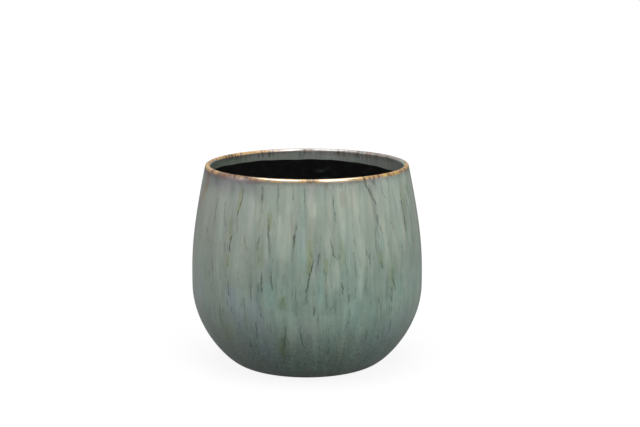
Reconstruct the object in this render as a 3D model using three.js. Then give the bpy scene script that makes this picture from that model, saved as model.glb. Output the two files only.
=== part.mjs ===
// A round-bellied flower pot of glazed stoneware that stands on an unglazed foot ring.
// The fired clay body carries a glaze skin outside, a second glaze over the lip, a short band of the
// first glaze inside the neck, and a black waterproof coat on the inside wall and floor.
// Millimetres, +Z up, with the origin on the ground under the middle of the pot.
import * as THREE from "three";

// Outside form, over the glaze
const POT_HEIGHT = 200;
const BELLY_RADIUS = 115;
const BELLY_HEIGHT = 79.5;
const RIM_RADIUS = 100.7;
const RIM_LEAN = THREE.MathUtils.degToRad(12);
const HEEL_RADIUS = 72;
const HEEL_HEIGHT = 1.8;
const HEEL_SLOPE = THREE.MathUtils.degToRad(9);

// Fullness of the wall: how far the curve runs straight on from the rim, the belly and the heel
const RIM_PULL = 69;
const BELLY_PULL_UP = 30;
const BELLY_PULL_DOWN = 42.5;
const HEEL_PULL = 9;

// Layers of the wall, and the hairline left between one layer and the next
const CLAY = 4;
const GLAZE = 0.6;
const COAT = 0.5;
const HAIRLINE = 0.05;

// Floor and foot ring
const FLOOR = 6.5;
const FOOT_RECESS = 3;
const FOOT_RADIUS = 66;
const FOOT_WIDTH = 8;
const FOOT_ROUNDING = 0.8;

// Where the layers begin and end, measured down from the top of the lip
const RIM_BAND = 4.2;
const COAT_LINE = 11.5;

// Facets
const ROUND_SEGMENTS = 48;
const WALL_STEPS = 8;
const NECK_STEPS = 1;
const LIP_STEPS_PER_SIDE = 3;
const ROUNDING_STEPS = 2;

// Places along the wall are stations, counted up from the heel
const HEEL_STATION = 0;
const BELLY_STATION = 1;
const RIM_STATION = 2;
const SEARCH_HALVINGS = 40;

const lipRadius = CLAY / 2 + GLAZE;
const lipCentre = new THREE.Vector2(RIM_RADIUS - lipRadius, POT_HEIGHT - lipRadius);
const clayInside = GLAZE + CLAY;
const neckFace = clayInside + GLAZE;
const coatFace = clayInside + COAT;
const floorTop = FOOT_RECESS + FLOOR;

/** A point at a radius from a centre, turned anticlockwise from straight outwards. */
function polar(centre, radius, angle) {
  return new THREE.Vector2(centre.x + radius * Math.cos(angle), centre.y + radius * Math.sin(angle));
}

/** Even values from one to another, both ends included. */
function spread(from, to, steps) {
  return Array.from({ length: steps + 1 }, (_, step) => from + ((to - from) * step) / steps);
}

/** Points over the lip, from the outside of the wall across its top to the inside. */
function lipArc(radius) {
  const top = Math.PI / 2;
  const angles = [
    ...spread(RIM_LEAN, top, LIP_STEPS_PER_SIDE),
    ...spread(top, RIM_LEAN + Math.PI, LIP_STEPS_PER_SIDE).slice(1),
  ];
  return angles.map((angle) => polar(lipCentre, radius, angle));
}

const heel = new THREE.Vector2(HEEL_RADIUS, HEEL_HEIGHT);
const belly = new THREE.Vector2(BELLY_RADIUS, BELLY_HEIGHT);
const rim = polar(lipCentre, lipRadius, RIM_LEAN);

const lowerWall = new THREE.CubicBezierCurve(
  heel,
  polar(heel, HEEL_PULL, HEEL_SLOPE),
  polar(belly, BELLY_PULL_DOWN, -Math.PI / 2),
  belly,
);
const upperWall = new THREE.CubicBezierCurve(
  belly,
  polar(belly, BELLY_PULL_UP, Math.PI / 2),
  polar(rim, RIM_PULL, RIM_LEAN - Math.PI / 2),
  rim,
);

/** The wall's point at a station, at a depth under the face of the outer glaze. */
function wallPoint(station, depth) {
  const isLower = station < BELLY_STATION;
  const curve = isLower ? lowerWall : upperWall;
  const along = isLower ? station - HEEL_STATION : station - BELLY_STATION;
  const tangent = curve.getTangent(along);
  return curve.getPoint(along).add(new THREE.Vector2(-tangent.y, tangent.x).multiplyScalar(depth));
}

/** The station where the wall at a depth passes a height. */
function stationAt(height, depth) {
  let low = HEEL_STATION;
  let high = RIM_STATION;
  for (let halving = 0; halving < SEARCH_HALVINGS; halving += 1) {
    const middle = (low + high) / 2;
    if (wallPoint(middle, depth).y < height) low = middle;
    else high = middle;
  }
  return (low + high) / 2;
}

/** The wall's points at a depth, one for each station. */
function wallLine(stations, depth) {
  return stations.map((station) => wallPoint(station, depth));
}

/** Stations along the wall from one to another, with the belly's own station between them. */
function throughBelly(from, to) {
  return [
    ...spread(from, BELLY_STATION, WALL_STEPS),
    ...spread(BELLY_STATION, to, WALL_STEPS).slice(1),
  ];
}

const rimEdge = stationAt(POT_HEIGHT - RIM_BAND, 0);
const glazeTop = stationAt(POT_HEIGHT - RIM_BAND - HAIRLINE, 0);
const neckEnd = stationAt(POT_HEIGHT - COAT_LINE + HAIRLINE, clayInside);
const coatTop = stationAt(POT_HEIGHT - COAT_LINE, clayInside);
const outsideUp = throughBelly(HEEL_STATION, glazeTop);
const neckDown = spread(glazeTop, neckEnd, NECK_STEPS);
const insideDown = throughBelly(coatTop, stationAt(floorTop, clayInside));

/** A quarter round at the foot ring's lower edge. */
function footRounding(radius, startAngle) {
  const centre = new THREE.Vector2(radius, FOOT_ROUNDING);
  const angles = spread(startAngle, startAngle + Math.PI / 2, ROUNDING_STEPS);
  return angles.map((angle) => polar(centre, FOOT_ROUNDING, angle));
}

/** The fired clay: underside, foot ring, outside, lip, inside and floor. */
function clayProfile() {
  const ringInside = FOOT_RADIUS - FOOT_WIDTH;
  const heelUnderside = wallPoint(HEEL_STATION, GLAZE).y;
  return [
    new THREE.Vector2(0, FOOT_RECESS),
    new THREE.Vector2(ringInside, FOOT_RECESS),
    ...footRounding(ringInside + FOOT_ROUNDING, Math.PI),
    ...footRounding(FOOT_RADIUS - FOOT_ROUNDING, -Math.PI / 2),
    new THREE.Vector2(FOOT_RADIUS, heelUnderside),
    ...wallLine(outsideUp, GLAZE),
    ...lipArc(CLAY / 2),
    ...wallLine(neckDown, clayInside),
    ...wallLine(insideDown.slice(1), clayInside),
    new THREE.Vector2(0, floorTop),
  ];
}

/** The skin outside, from the heel up to the lip's own glaze. */
function outerGlazeProfile() {
  const face = wallLine(outsideUp, 0);
  const back = wallLine(outsideUp, GLAZE - HAIRLINE);
  return [...face, ...back.reverse(), face[0].clone()];
}

/** The skin over the lip, as deep on the inside as on the outside. */
function rimGlazeProfile() {
  const outerEdge = wallPoint(rimEdge, 0);
  return [
    outerEdge,
    ...lipArc(lipRadius),
    wallPoint(rimEdge, neckFace),
    wallPoint(rimEdge, clayInside + HAIRLINE),
    ...lipArc(CLAY / 2 + HAIRLINE).reverse(),
    wallPoint(rimEdge, GLAZE - HAIRLINE),
    outerEdge.clone(),
  ];
}

/** The band inside the neck, between the lip's glaze and the coat. */
function neckGlazeProfile() {
  const face = wallLine(neckDown, neckFace);
  const back = wallLine(neckDown, clayInside + HAIRLINE);
  return [...face, ...back.reverse(), face[0].clone()];
}

/** The coat: a thin cup on the inside wall and floor. */
function coatProfile() {
  const back = wallLine(insideDown.slice(0, -1), clayInside + HAIRLINE);
  const face = wallLine(insideDown.slice(0, -1), coatFace);
  const floorBack = floorTop + HAIRLINE;
  const floorFace = floorTop + COAT;
  return [
    new THREE.Vector2(0, floorBack),
    wallPoint(stationAt(floorBack, clayInside + HAIRLINE), clayInside + HAIRLINE),
    ...back.reverse(),
    ...face,
    wallPoint(stationAt(floorFace, coatFace), coatFace),
    new THREE.Vector2(0, floorFace),
  ];
}

/** One turned layer of the pot with its own finish. */
function turned(name, profile, finish) {
  const mesh = new THREE.Mesh(
    new THREE.LatheGeometry(profile, ROUND_SEGMENTS),
    new THREE.MeshStandardMaterial({ metalness: 0, ...finish }),
  );
  mesh.name = name;
  return mesh;
}

const pot = new THREE.Group();
pot.rotation.x = Math.PI / 2;
pot.add(
  turned("stoneware_body", clayProfile(), { color: 0xcdb594, roughness: 0.85 }),
  turned("outer_glaze", outerGlazeProfile(), { color: 0x8a988b, roughness: 0.25 }),
  turned("rim_glaze", rimGlazeProfile(), { color: 0x8a6a3f, roughness: 0.2 }),
  turned("neck_glaze", neckGlazeProfile(), { color: 0x63675f, roughness: 0.25 }),
  turned("waterproof_coat", coatProfile(), { color: 0x0f100f, roughness: 0.35 }),
);

const flowerPot = new THREE.Group();
flowerPot.name = "flower_pot";
flowerPot.add(pot);

export default flowerPot;
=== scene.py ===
"""Flower pot of drip-glazed stoneware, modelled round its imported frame.

The pot is three turned pieces on one body: a clay body, a glaze skin that runs from the heel over the
lip and down into the neck, and a black waterproof coat inside. Sizes are in metres unless a name says
millimetres, and the glaze's pattern is written in millimetres and degrees on the pot's own surface.
"""

from __future__ import annotations

import logging
import math
from dataclasses import dataclass
from enum import Enum

import bpy
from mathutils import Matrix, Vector


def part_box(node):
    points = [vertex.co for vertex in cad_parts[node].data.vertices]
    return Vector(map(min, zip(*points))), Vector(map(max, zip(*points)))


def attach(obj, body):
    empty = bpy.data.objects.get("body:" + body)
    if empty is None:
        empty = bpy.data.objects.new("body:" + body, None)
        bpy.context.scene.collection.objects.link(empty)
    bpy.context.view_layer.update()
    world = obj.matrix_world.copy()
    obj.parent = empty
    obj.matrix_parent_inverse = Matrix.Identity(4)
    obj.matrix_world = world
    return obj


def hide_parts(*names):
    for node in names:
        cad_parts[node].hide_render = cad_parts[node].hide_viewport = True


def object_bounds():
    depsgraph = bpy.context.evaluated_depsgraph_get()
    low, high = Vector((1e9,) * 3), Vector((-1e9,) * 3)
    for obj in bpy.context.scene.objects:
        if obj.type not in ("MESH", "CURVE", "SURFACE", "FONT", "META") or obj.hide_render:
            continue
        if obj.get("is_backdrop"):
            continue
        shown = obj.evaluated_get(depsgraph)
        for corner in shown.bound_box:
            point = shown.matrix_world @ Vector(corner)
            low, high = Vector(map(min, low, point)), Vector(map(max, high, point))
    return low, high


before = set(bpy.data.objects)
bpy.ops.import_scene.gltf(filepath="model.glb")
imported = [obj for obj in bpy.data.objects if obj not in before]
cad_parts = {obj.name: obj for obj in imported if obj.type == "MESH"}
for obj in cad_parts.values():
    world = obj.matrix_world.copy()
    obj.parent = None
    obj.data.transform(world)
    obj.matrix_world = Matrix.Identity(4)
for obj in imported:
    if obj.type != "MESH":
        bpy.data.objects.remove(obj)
CAD_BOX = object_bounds()

MM = 0.001
BODY = "root"
ORIGIN = (0.0, 0.0, 0.0)
log = logging.getLogger("flower_pot")

# Stations along the wall
HEEL_STATION = 0.0
BELLY_STATION = 1.0
RIM_STATION = 2.0
SEARCH_HALVINGS = 40

# The wall unrolled, and the runs drawn on it
DROP = "drop"
FULL_DROP_MM = 200.0
FULL_TURN_DEG = 360.0
HALF_TURN_DEG = 180.0
WRAP_RADIUS_MM = 100.0
RUN_FADE_MM = 2.0
RUN_GAP_MM = 3 * RUN_FADE_MM
MIDDLE = 0.5
BELOW_ALL = -1.0

# Sockets of a Mix node that mixes colours: share, first and second, and the result
MIX_INPUTS = (0, 6, 7)
MIX_RESULT = 2

Point = tuple[float, float]
Triple = tuple[float, float, float]
Colour = tuple[float, float, float, float]
Stops = tuple[tuple[float, Colour], ...]
Socket = bpy.types.NodeSocket


def srgb(red: int, green: int, blue: int) -> Colour:
    """Turns a colour as it is seen, 0 to 255, into the linear colour that shaders take.

    Args:
        red: Seen red.
        green: Seen green.
        blue: Seen blue.

    Returns:
        The linear colour with full alpha.
    """

    def linear(value: int) -> float:
        """One channel, from seen to linear."""
        share = value / 255
        return share / 12.92 if share <= 0.04045 else ((share + 0.055) / 1.055) ** 2.4

    return (linear(red), linear(green), linear(blue), 1.0)


class Step(Enum):
    """How a fade goes from one end to the other."""

    EVEN = "LINEAR"
    EASED = "SMOOTHSTEP"


class Blend(Enum):
    """How a colour goes on another one."""

    OVER = "MIX"
    TINT = "MULTIPLY"


@dataclass(frozen=True)
class Fade:
    """A change of strength while a value goes from one level to another, held beyond both."""

    start: float
    end: float
    at_start: float = 0.0
    at_end: float = 1.0
    step: Step = Step.EASED


@dataclass(frozen=True)
class Pattern:
    """Noise stretched down the wall and read through a fade; the shift tells patterns apart."""

    across_mm: float
    along_mm: float
    shift: float
    detail: float = 2.0
    fade: Fade = Fade(0.3, 0.7, step=Step.EVEN)


@dataclass(frozen=True)
class PotOutline:
    """The pot's turned outline as radius and height; its wall is two curves that meet at the belly."""

    height: float
    belly_radius: float
    heel_height: float
    coat_bottom: float
    belly_height: float = 79.5 * MM
    rim_radius: float = 100.7 * MM
    rim_lean: float = math.radians(12)
    heel_radius: float = 72 * MM
    heel_slope: float = math.radians(9)
    rim_pull: float = 69 * MM
    belly_pull_up: float = 30 * MM
    belly_pull_down: float = 42.5 * MM
    heel_pull: float = 9 * MM
    clay: float = 4 * MM
    glaze: float = 0.6 * MM
    coat: float = 0.5 * MM
    hairline: float = 0.05 * MM
    foot_recess: float = 3 * MM
    foot_radius: float = 66 * MM
    foot_width: float = 8 * MM
    foot_rounding: float = 0.8 * MM

    @classmethod
    def from_frame(cls) -> PotOutline:
        """Takes the outline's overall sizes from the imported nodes.

        Returns:
            The outline.
        """
        glaze_low, glaze_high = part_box("outer_glaze")
        return cls(
            height=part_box("rim_glaze")[1].z,
            belly_radius=glaze_high.x,
            heel_height=glaze_low.z,
            coat_bottom=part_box("waterproof_coat")[0].z,
        )

    @property
    def lip_radius(self) -> float:
        """Radius of the lip's round section over the glaze."""
        return self.clay / 2 + self.glaze

    @property
    def lip_centre(self) -> Point:
        """Middle of the lip's round section."""
        return (self.rim_radius - self.lip_radius, self.height - self.lip_radius)

    @property
    def inside_depth(self) -> float:
        """Depth of the clay's inside face under the outer glaze."""
        return self.glaze + self.clay

    def on_lip(self, radius: float, turn: float) -> Point:
        """A point round the lip's middle.

        Args:
            radius: Distance from the middle.
            turn: 0 faces out of the wall, and pi into the pot.

        Returns:
            Radius and height.
        """
        centre_radius, centre_height = self.lip_centre
        angle = self.rim_lean + turn
        return (centre_radius + radius * math.cos(angle), centre_height + radius * math.sin(angle))

    def wall(self, station: float, depth: float) -> Point:
        """A point of the wall.

        Args:
            station: Place along the wall, from the heel over the belly to the rim.
            depth: Distance under the face of the outer glaze.

        Returns:
            Radius and height.
        """
        belly = Vector((self.belly_radius, self.belly_height))
        if station < BELLY_STATION:
            heel = Vector((self.heel_radius, self.heel_height))
            heel_way = Vector((math.cos(self.heel_slope), math.sin(self.heel_slope)))
            below = belly - Vector((0, self.belly_pull_down))
            knots = (heel, heel + heel_way * self.heel_pull, below, belly)
            t = station - HEEL_STATION
        else:
            rim = Vector(self.on_lip(self.lip_radius, 0))
            rim_way = Vector((math.sin(self.rim_lean), -math.cos(self.rim_lean)))
            above = belly + Vector((0, self.belly_pull_up))
            knots = (belly, above, rim + rim_way * self.rim_pull, rim)
            t = station - BELLY_STATION
        s = 1 - t
        a, b, c, d = knots
        place = a * s**3 + b * (3 * s * s * t) + c * (3 * s * t * t) + d * t**3
        way = (b - a) * (s * s) + (c - b) * (2 * s * t) + (d - c) * (t * t)
        inward = Vector((-way.y, way.x)).normalized()
        spot = place + inward * depth
        return (spot.x, spot.y)

    def station_at(self, height: float, depth: float) -> float:
        """Finds the station where the wall at a depth passes a height.

        Args:
            height: Height to pass.
            depth: Distance under the face of the outer glaze.

        Returns:
            The station.
        """
        low, high = HEEL_STATION, RIM_STATION
        for _ in range(SEARCH_HALVINGS):
            middle = (low + high) / 2
            if self.wall(middle, depth)[1] < height:
                low = middle
            else:
                high = middle
        return (low + high) / 2

    def wall_line(self, start: float, end: float, steps: int, depth: float) -> list[Point]:
        """Points of the wall at one depth, from one station to another, both ends included."""
        return [self.wall(start + (end - start) * step / steps, depth) for step in range(steps + 1)]

    def lip_line(self, radius: float, steps: int) -> list[Point]:
        """Points over the lip from the outside to the inside, without the two ends."""
        return [self.on_lip(radius, math.pi * step / steps) for step in range(1, steps)]


class NodeBench:
    """Adds and wires the nodes of one shader tree."""

    def __init__(self, tree: bpy.types.NodeTree) -> None:
        """Takes the tree to work in."""
        self.tree = tree

    def node(self, kind: str, **settings: object) -> bpy.types.Node:
        """Adds a node and sets its options.

        Args:
            kind: The node's type.
            settings: Its options by name.

        Returns:
            The node.
        """
        made = self.tree.nodes.new(kind)
        for option, value in settings.items():
            setattr(made, option, value)
        return made

    def plug(self, socket: Socket, feed: object) -> None:
        """Feeds a socket from another socket or with a fixed value.

        Args:
            socket: The input to feed.
            feed: A socket to link, or a value to set.
        """
        if isinstance(feed, bpy.types.NodeSocket):
            self.tree.links.new(feed, socket)
        else:
            socket.default_value = feed

    def feed(self, node: bpy.types.Node, feeds: dict[str, object]) -> bpy.types.Node:
        """Feeds a node's inputs by their names, and hands the node back.

        Args:
            node: The node to feed.
            feeds: Sockets or fixed values by the names of the inputs.

        Returns:
            The node.
        """
        for name, value in feeds.items():
            self.plug(node.inputs[name], value)
        return node

    def worked(self, kind: str, operation: str, feeds: tuple[object, ...]) -> bpy.types.Node:
        """Adds a node that works an operation, and feeds its inputs in order.

        Args:
            kind: The node's type.
            operation: What it works.
            feeds: Its inputs, in order.

        Returns:
            The node.
        """
        made = self.node(kind, operation=operation)
        for socket, feed in zip(made.inputs, feeds):
            self.plug(socket, feed)
        return made

    def maths(self, operation: str, *feeds: object) -> Socket:
        """One Math node."""
        return self.worked("ShaderNodeMath", operation, feeds).outputs["Value"]

    def vector_maths(self, operation: str, *feeds: object, gives: str = "Vector") -> Socket:
        """One Vector Math node, which gives a vector or a value."""
        return self.worked("ShaderNodeVectorMath", operation, feeds).outputs[gives]

    def chain(self, operation: str, feeds: tuple[object, ...]) -> Socket:
        """Works a Math operation through two or more values, from first to last.

        Args:
            operation: What each node works.
            feeds: The values.

        Returns:
            The result.
        """
        total = feeds[0]
        for feed in feeds[1:]:
            total = self.maths(operation, total, feed)
        return total

    def times(self, *feeds: object) -> Socket:
        """The product of two or more values."""
        return self.chain("MULTIPLY", feeds)

    def plus(self, *feeds: object) -> Socket:
        """The sum of two or more values."""
        return self.chain("ADD", feeds)

    def most(self, *feeds: object) -> Socket:
        """The largest of two or more values."""
        return self.chain("MAXIMUM", feeds)

    def fade(self, value: Socket, fade: Fade) -> Socket:
        """Reads a fade.

        Args:
            value: What goes from the fade's start to its end.
            fade: The levels, and the strengths there.

        Returns:
            The strength at the value.
        """
        made = self.node("ShaderNodeMapRange", interpolation_type=fade.step.value, clamp=False)
        levels = {"Value": value, "From Min": fade.start, "From Max": fade.end}
        self.feed(made, {**levels, "To Min": fade.at_start, "To Max": fade.at_end})
        if fade.step is Step.EASED:
            return made.outputs["Result"]
        held = self.node("ShaderNodeClamp", clamp_type="RANGE")
        ends = {"Min": fade.at_start, "Max": fade.at_end}
        return self.feed(held, {"Value": made.outputs["Result"], **ends}).outputs["Result"]

    def noise(self, vector: Socket, detail: float) -> Socket:
        """Smooth noise of about one unit, around 0.5."""
        made = self.node("ShaderNodeTexNoise")
        return self.feed(made, {"Vector": vector, "Scale": 1.0, "Detail": detail}).outputs["Fac"]

    def mix(self, share: object, first: object, second: object, blend: Blend = Blend.OVER) -> Socket:
        """Mixes two colours.

        Args:
            share: How much of the second shows.
            first: Colour under.
            second: Colour over.
            blend: How the second goes on the first.

        Returns:
            The mixed colour.
        """
        made = self.node("ShaderNodeMix", data_type="RGBA", blend_type=blend.value, clamp_factor=True)
        for index, feed in zip(MIX_INPUTS, (share, first, second)):
            self.plug(made.inputs[index], feed)
        return made.outputs[MIX_RESULT]

    def tint(self, share: object, colour: Socket, tint: object) -> Socket:
        """Tints a colour by a share."""
        return self.mix(share, colour, tint, Blend.TINT)

    def ramp(self, value: Socket, stops: Stops) -> Socket:
        """Colours along a value from 0 to 1.

        Args:
            value: Where the ramp is read.
            stops: Places and colours, from low to high.

        Returns:
            The colour.
        """
        made = self.node("ShaderNodeValToRGB")
        elements = made.color_ramp.elements
        elements[0].position, elements[0].color = stops[0]
        elements[1].position, elements[1].color = stops[-1]
        for place, colour in stops[1:-1]:
            elements.new(place).color = colour
        self.plug(made.inputs[0], value)
        return made.outputs["Color"]

    def curve(self, value: Socket, points: list[Point], share: object = 1.0) -> Socket:
        """A curve through given points, from 0 to 1 both ways.

        Args:
            value: Where the curve is read.
            points: Its points, from left to right.
            share: How much of the curve shows in place of the value.

        Returns:
            The curve's value.
        """
        made = self.node("ShaderNodeFloatCurve")
        made.mapping.extend = "HORIZONTAL"
        line = made.mapping.curves[0]
        line.points[0].location = points[0]
        line.points[1].location = points[-1]
        for place in points[1:-1]:
            line.points.new(*place)
        for knot in line.points:
            knot.handle_type = "AUTO_CLAMPED"
        made.mapping.update()
        return self.feed(made, {"Factor": share, "Value": value}).outputs[0]

    def bump(self, height: Socket, depth_mm: float, strength: float = 1.0) -> Socket:
        """A surface relief of a depth, as a shading normal."""
        relief = {"Strength": strength, "Distance": depth_mm * MM, "Height": height}
        return self.feed(self.node("ShaderNodeBump"), relief).outputs["Normal"]


class FinishBench(NodeBench):
    """Makes the material of one finish, in the space of the piece that wears it."""

    def __init__(self, name: str) -> None:
        """Starts an empty material with its output and the piece's own coordinates.

        Args:
            name: The material's name.
        """
        self.material = bpy.data.materials.new(name)
        self.material.use_nodes = True
        super().__init__(self.material.node_tree)
        self.tree.nodes.clear()
        self.output = self.node("ShaderNodeOutputMaterial")
        self.place = self.node("ShaderNodeTexCoord").outputs["Object"]

    def speckle(self, per_metre: Triple, detail: float) -> Socket:
        """Noise with so many units to the metre along each axis."""
        return self.noise(self.vector_maths("MULTIPLY", self.place, per_metre), detail)

    def surface(self, shader: bpy.types.Node) -> bpy.types.Material:
        """Shows a shader on the surface and hands over the material."""
        self.plug(self.output.inputs["Surface"], shader.outputs[0])
        return self.material

    def principled(self, feeds: dict[str, object]) -> bpy.types.Material:
        """Makes the material from a Principled shader, whose inputs are fed by their names."""
        return self.surface(self.feed(self.node("ShaderNodeBsdfPrincipled"), feeds))


@dataclass(frozen=True)
class Run:
    """A run in the glaze, such as a dark vein or an olive streak, drawn down the pot's face.

    Each point of the path is the bearing in degrees, 0 at the front and positive to the right, the drop
    in millimetres below the lip, and how strongly the run shows there. The width is to either side.
    """

    width_mm: float
    path: tuple[Triple, ...]

    @property
    def start_mm(self) -> float:
        """Drop of the upper end."""
        return self.path[0][1]

    @property
    def end_mm(self) -> float:
        """Drop of the lower end."""
        return self.path[-1][1]


def runs_of(width_mm: float, *paths: tuple[Triple, ...]) -> tuple[Run, ...]:
    """Runs of one width, each along its own path."""
    return tuple(Run(width_mm, path) for path in paths)


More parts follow.
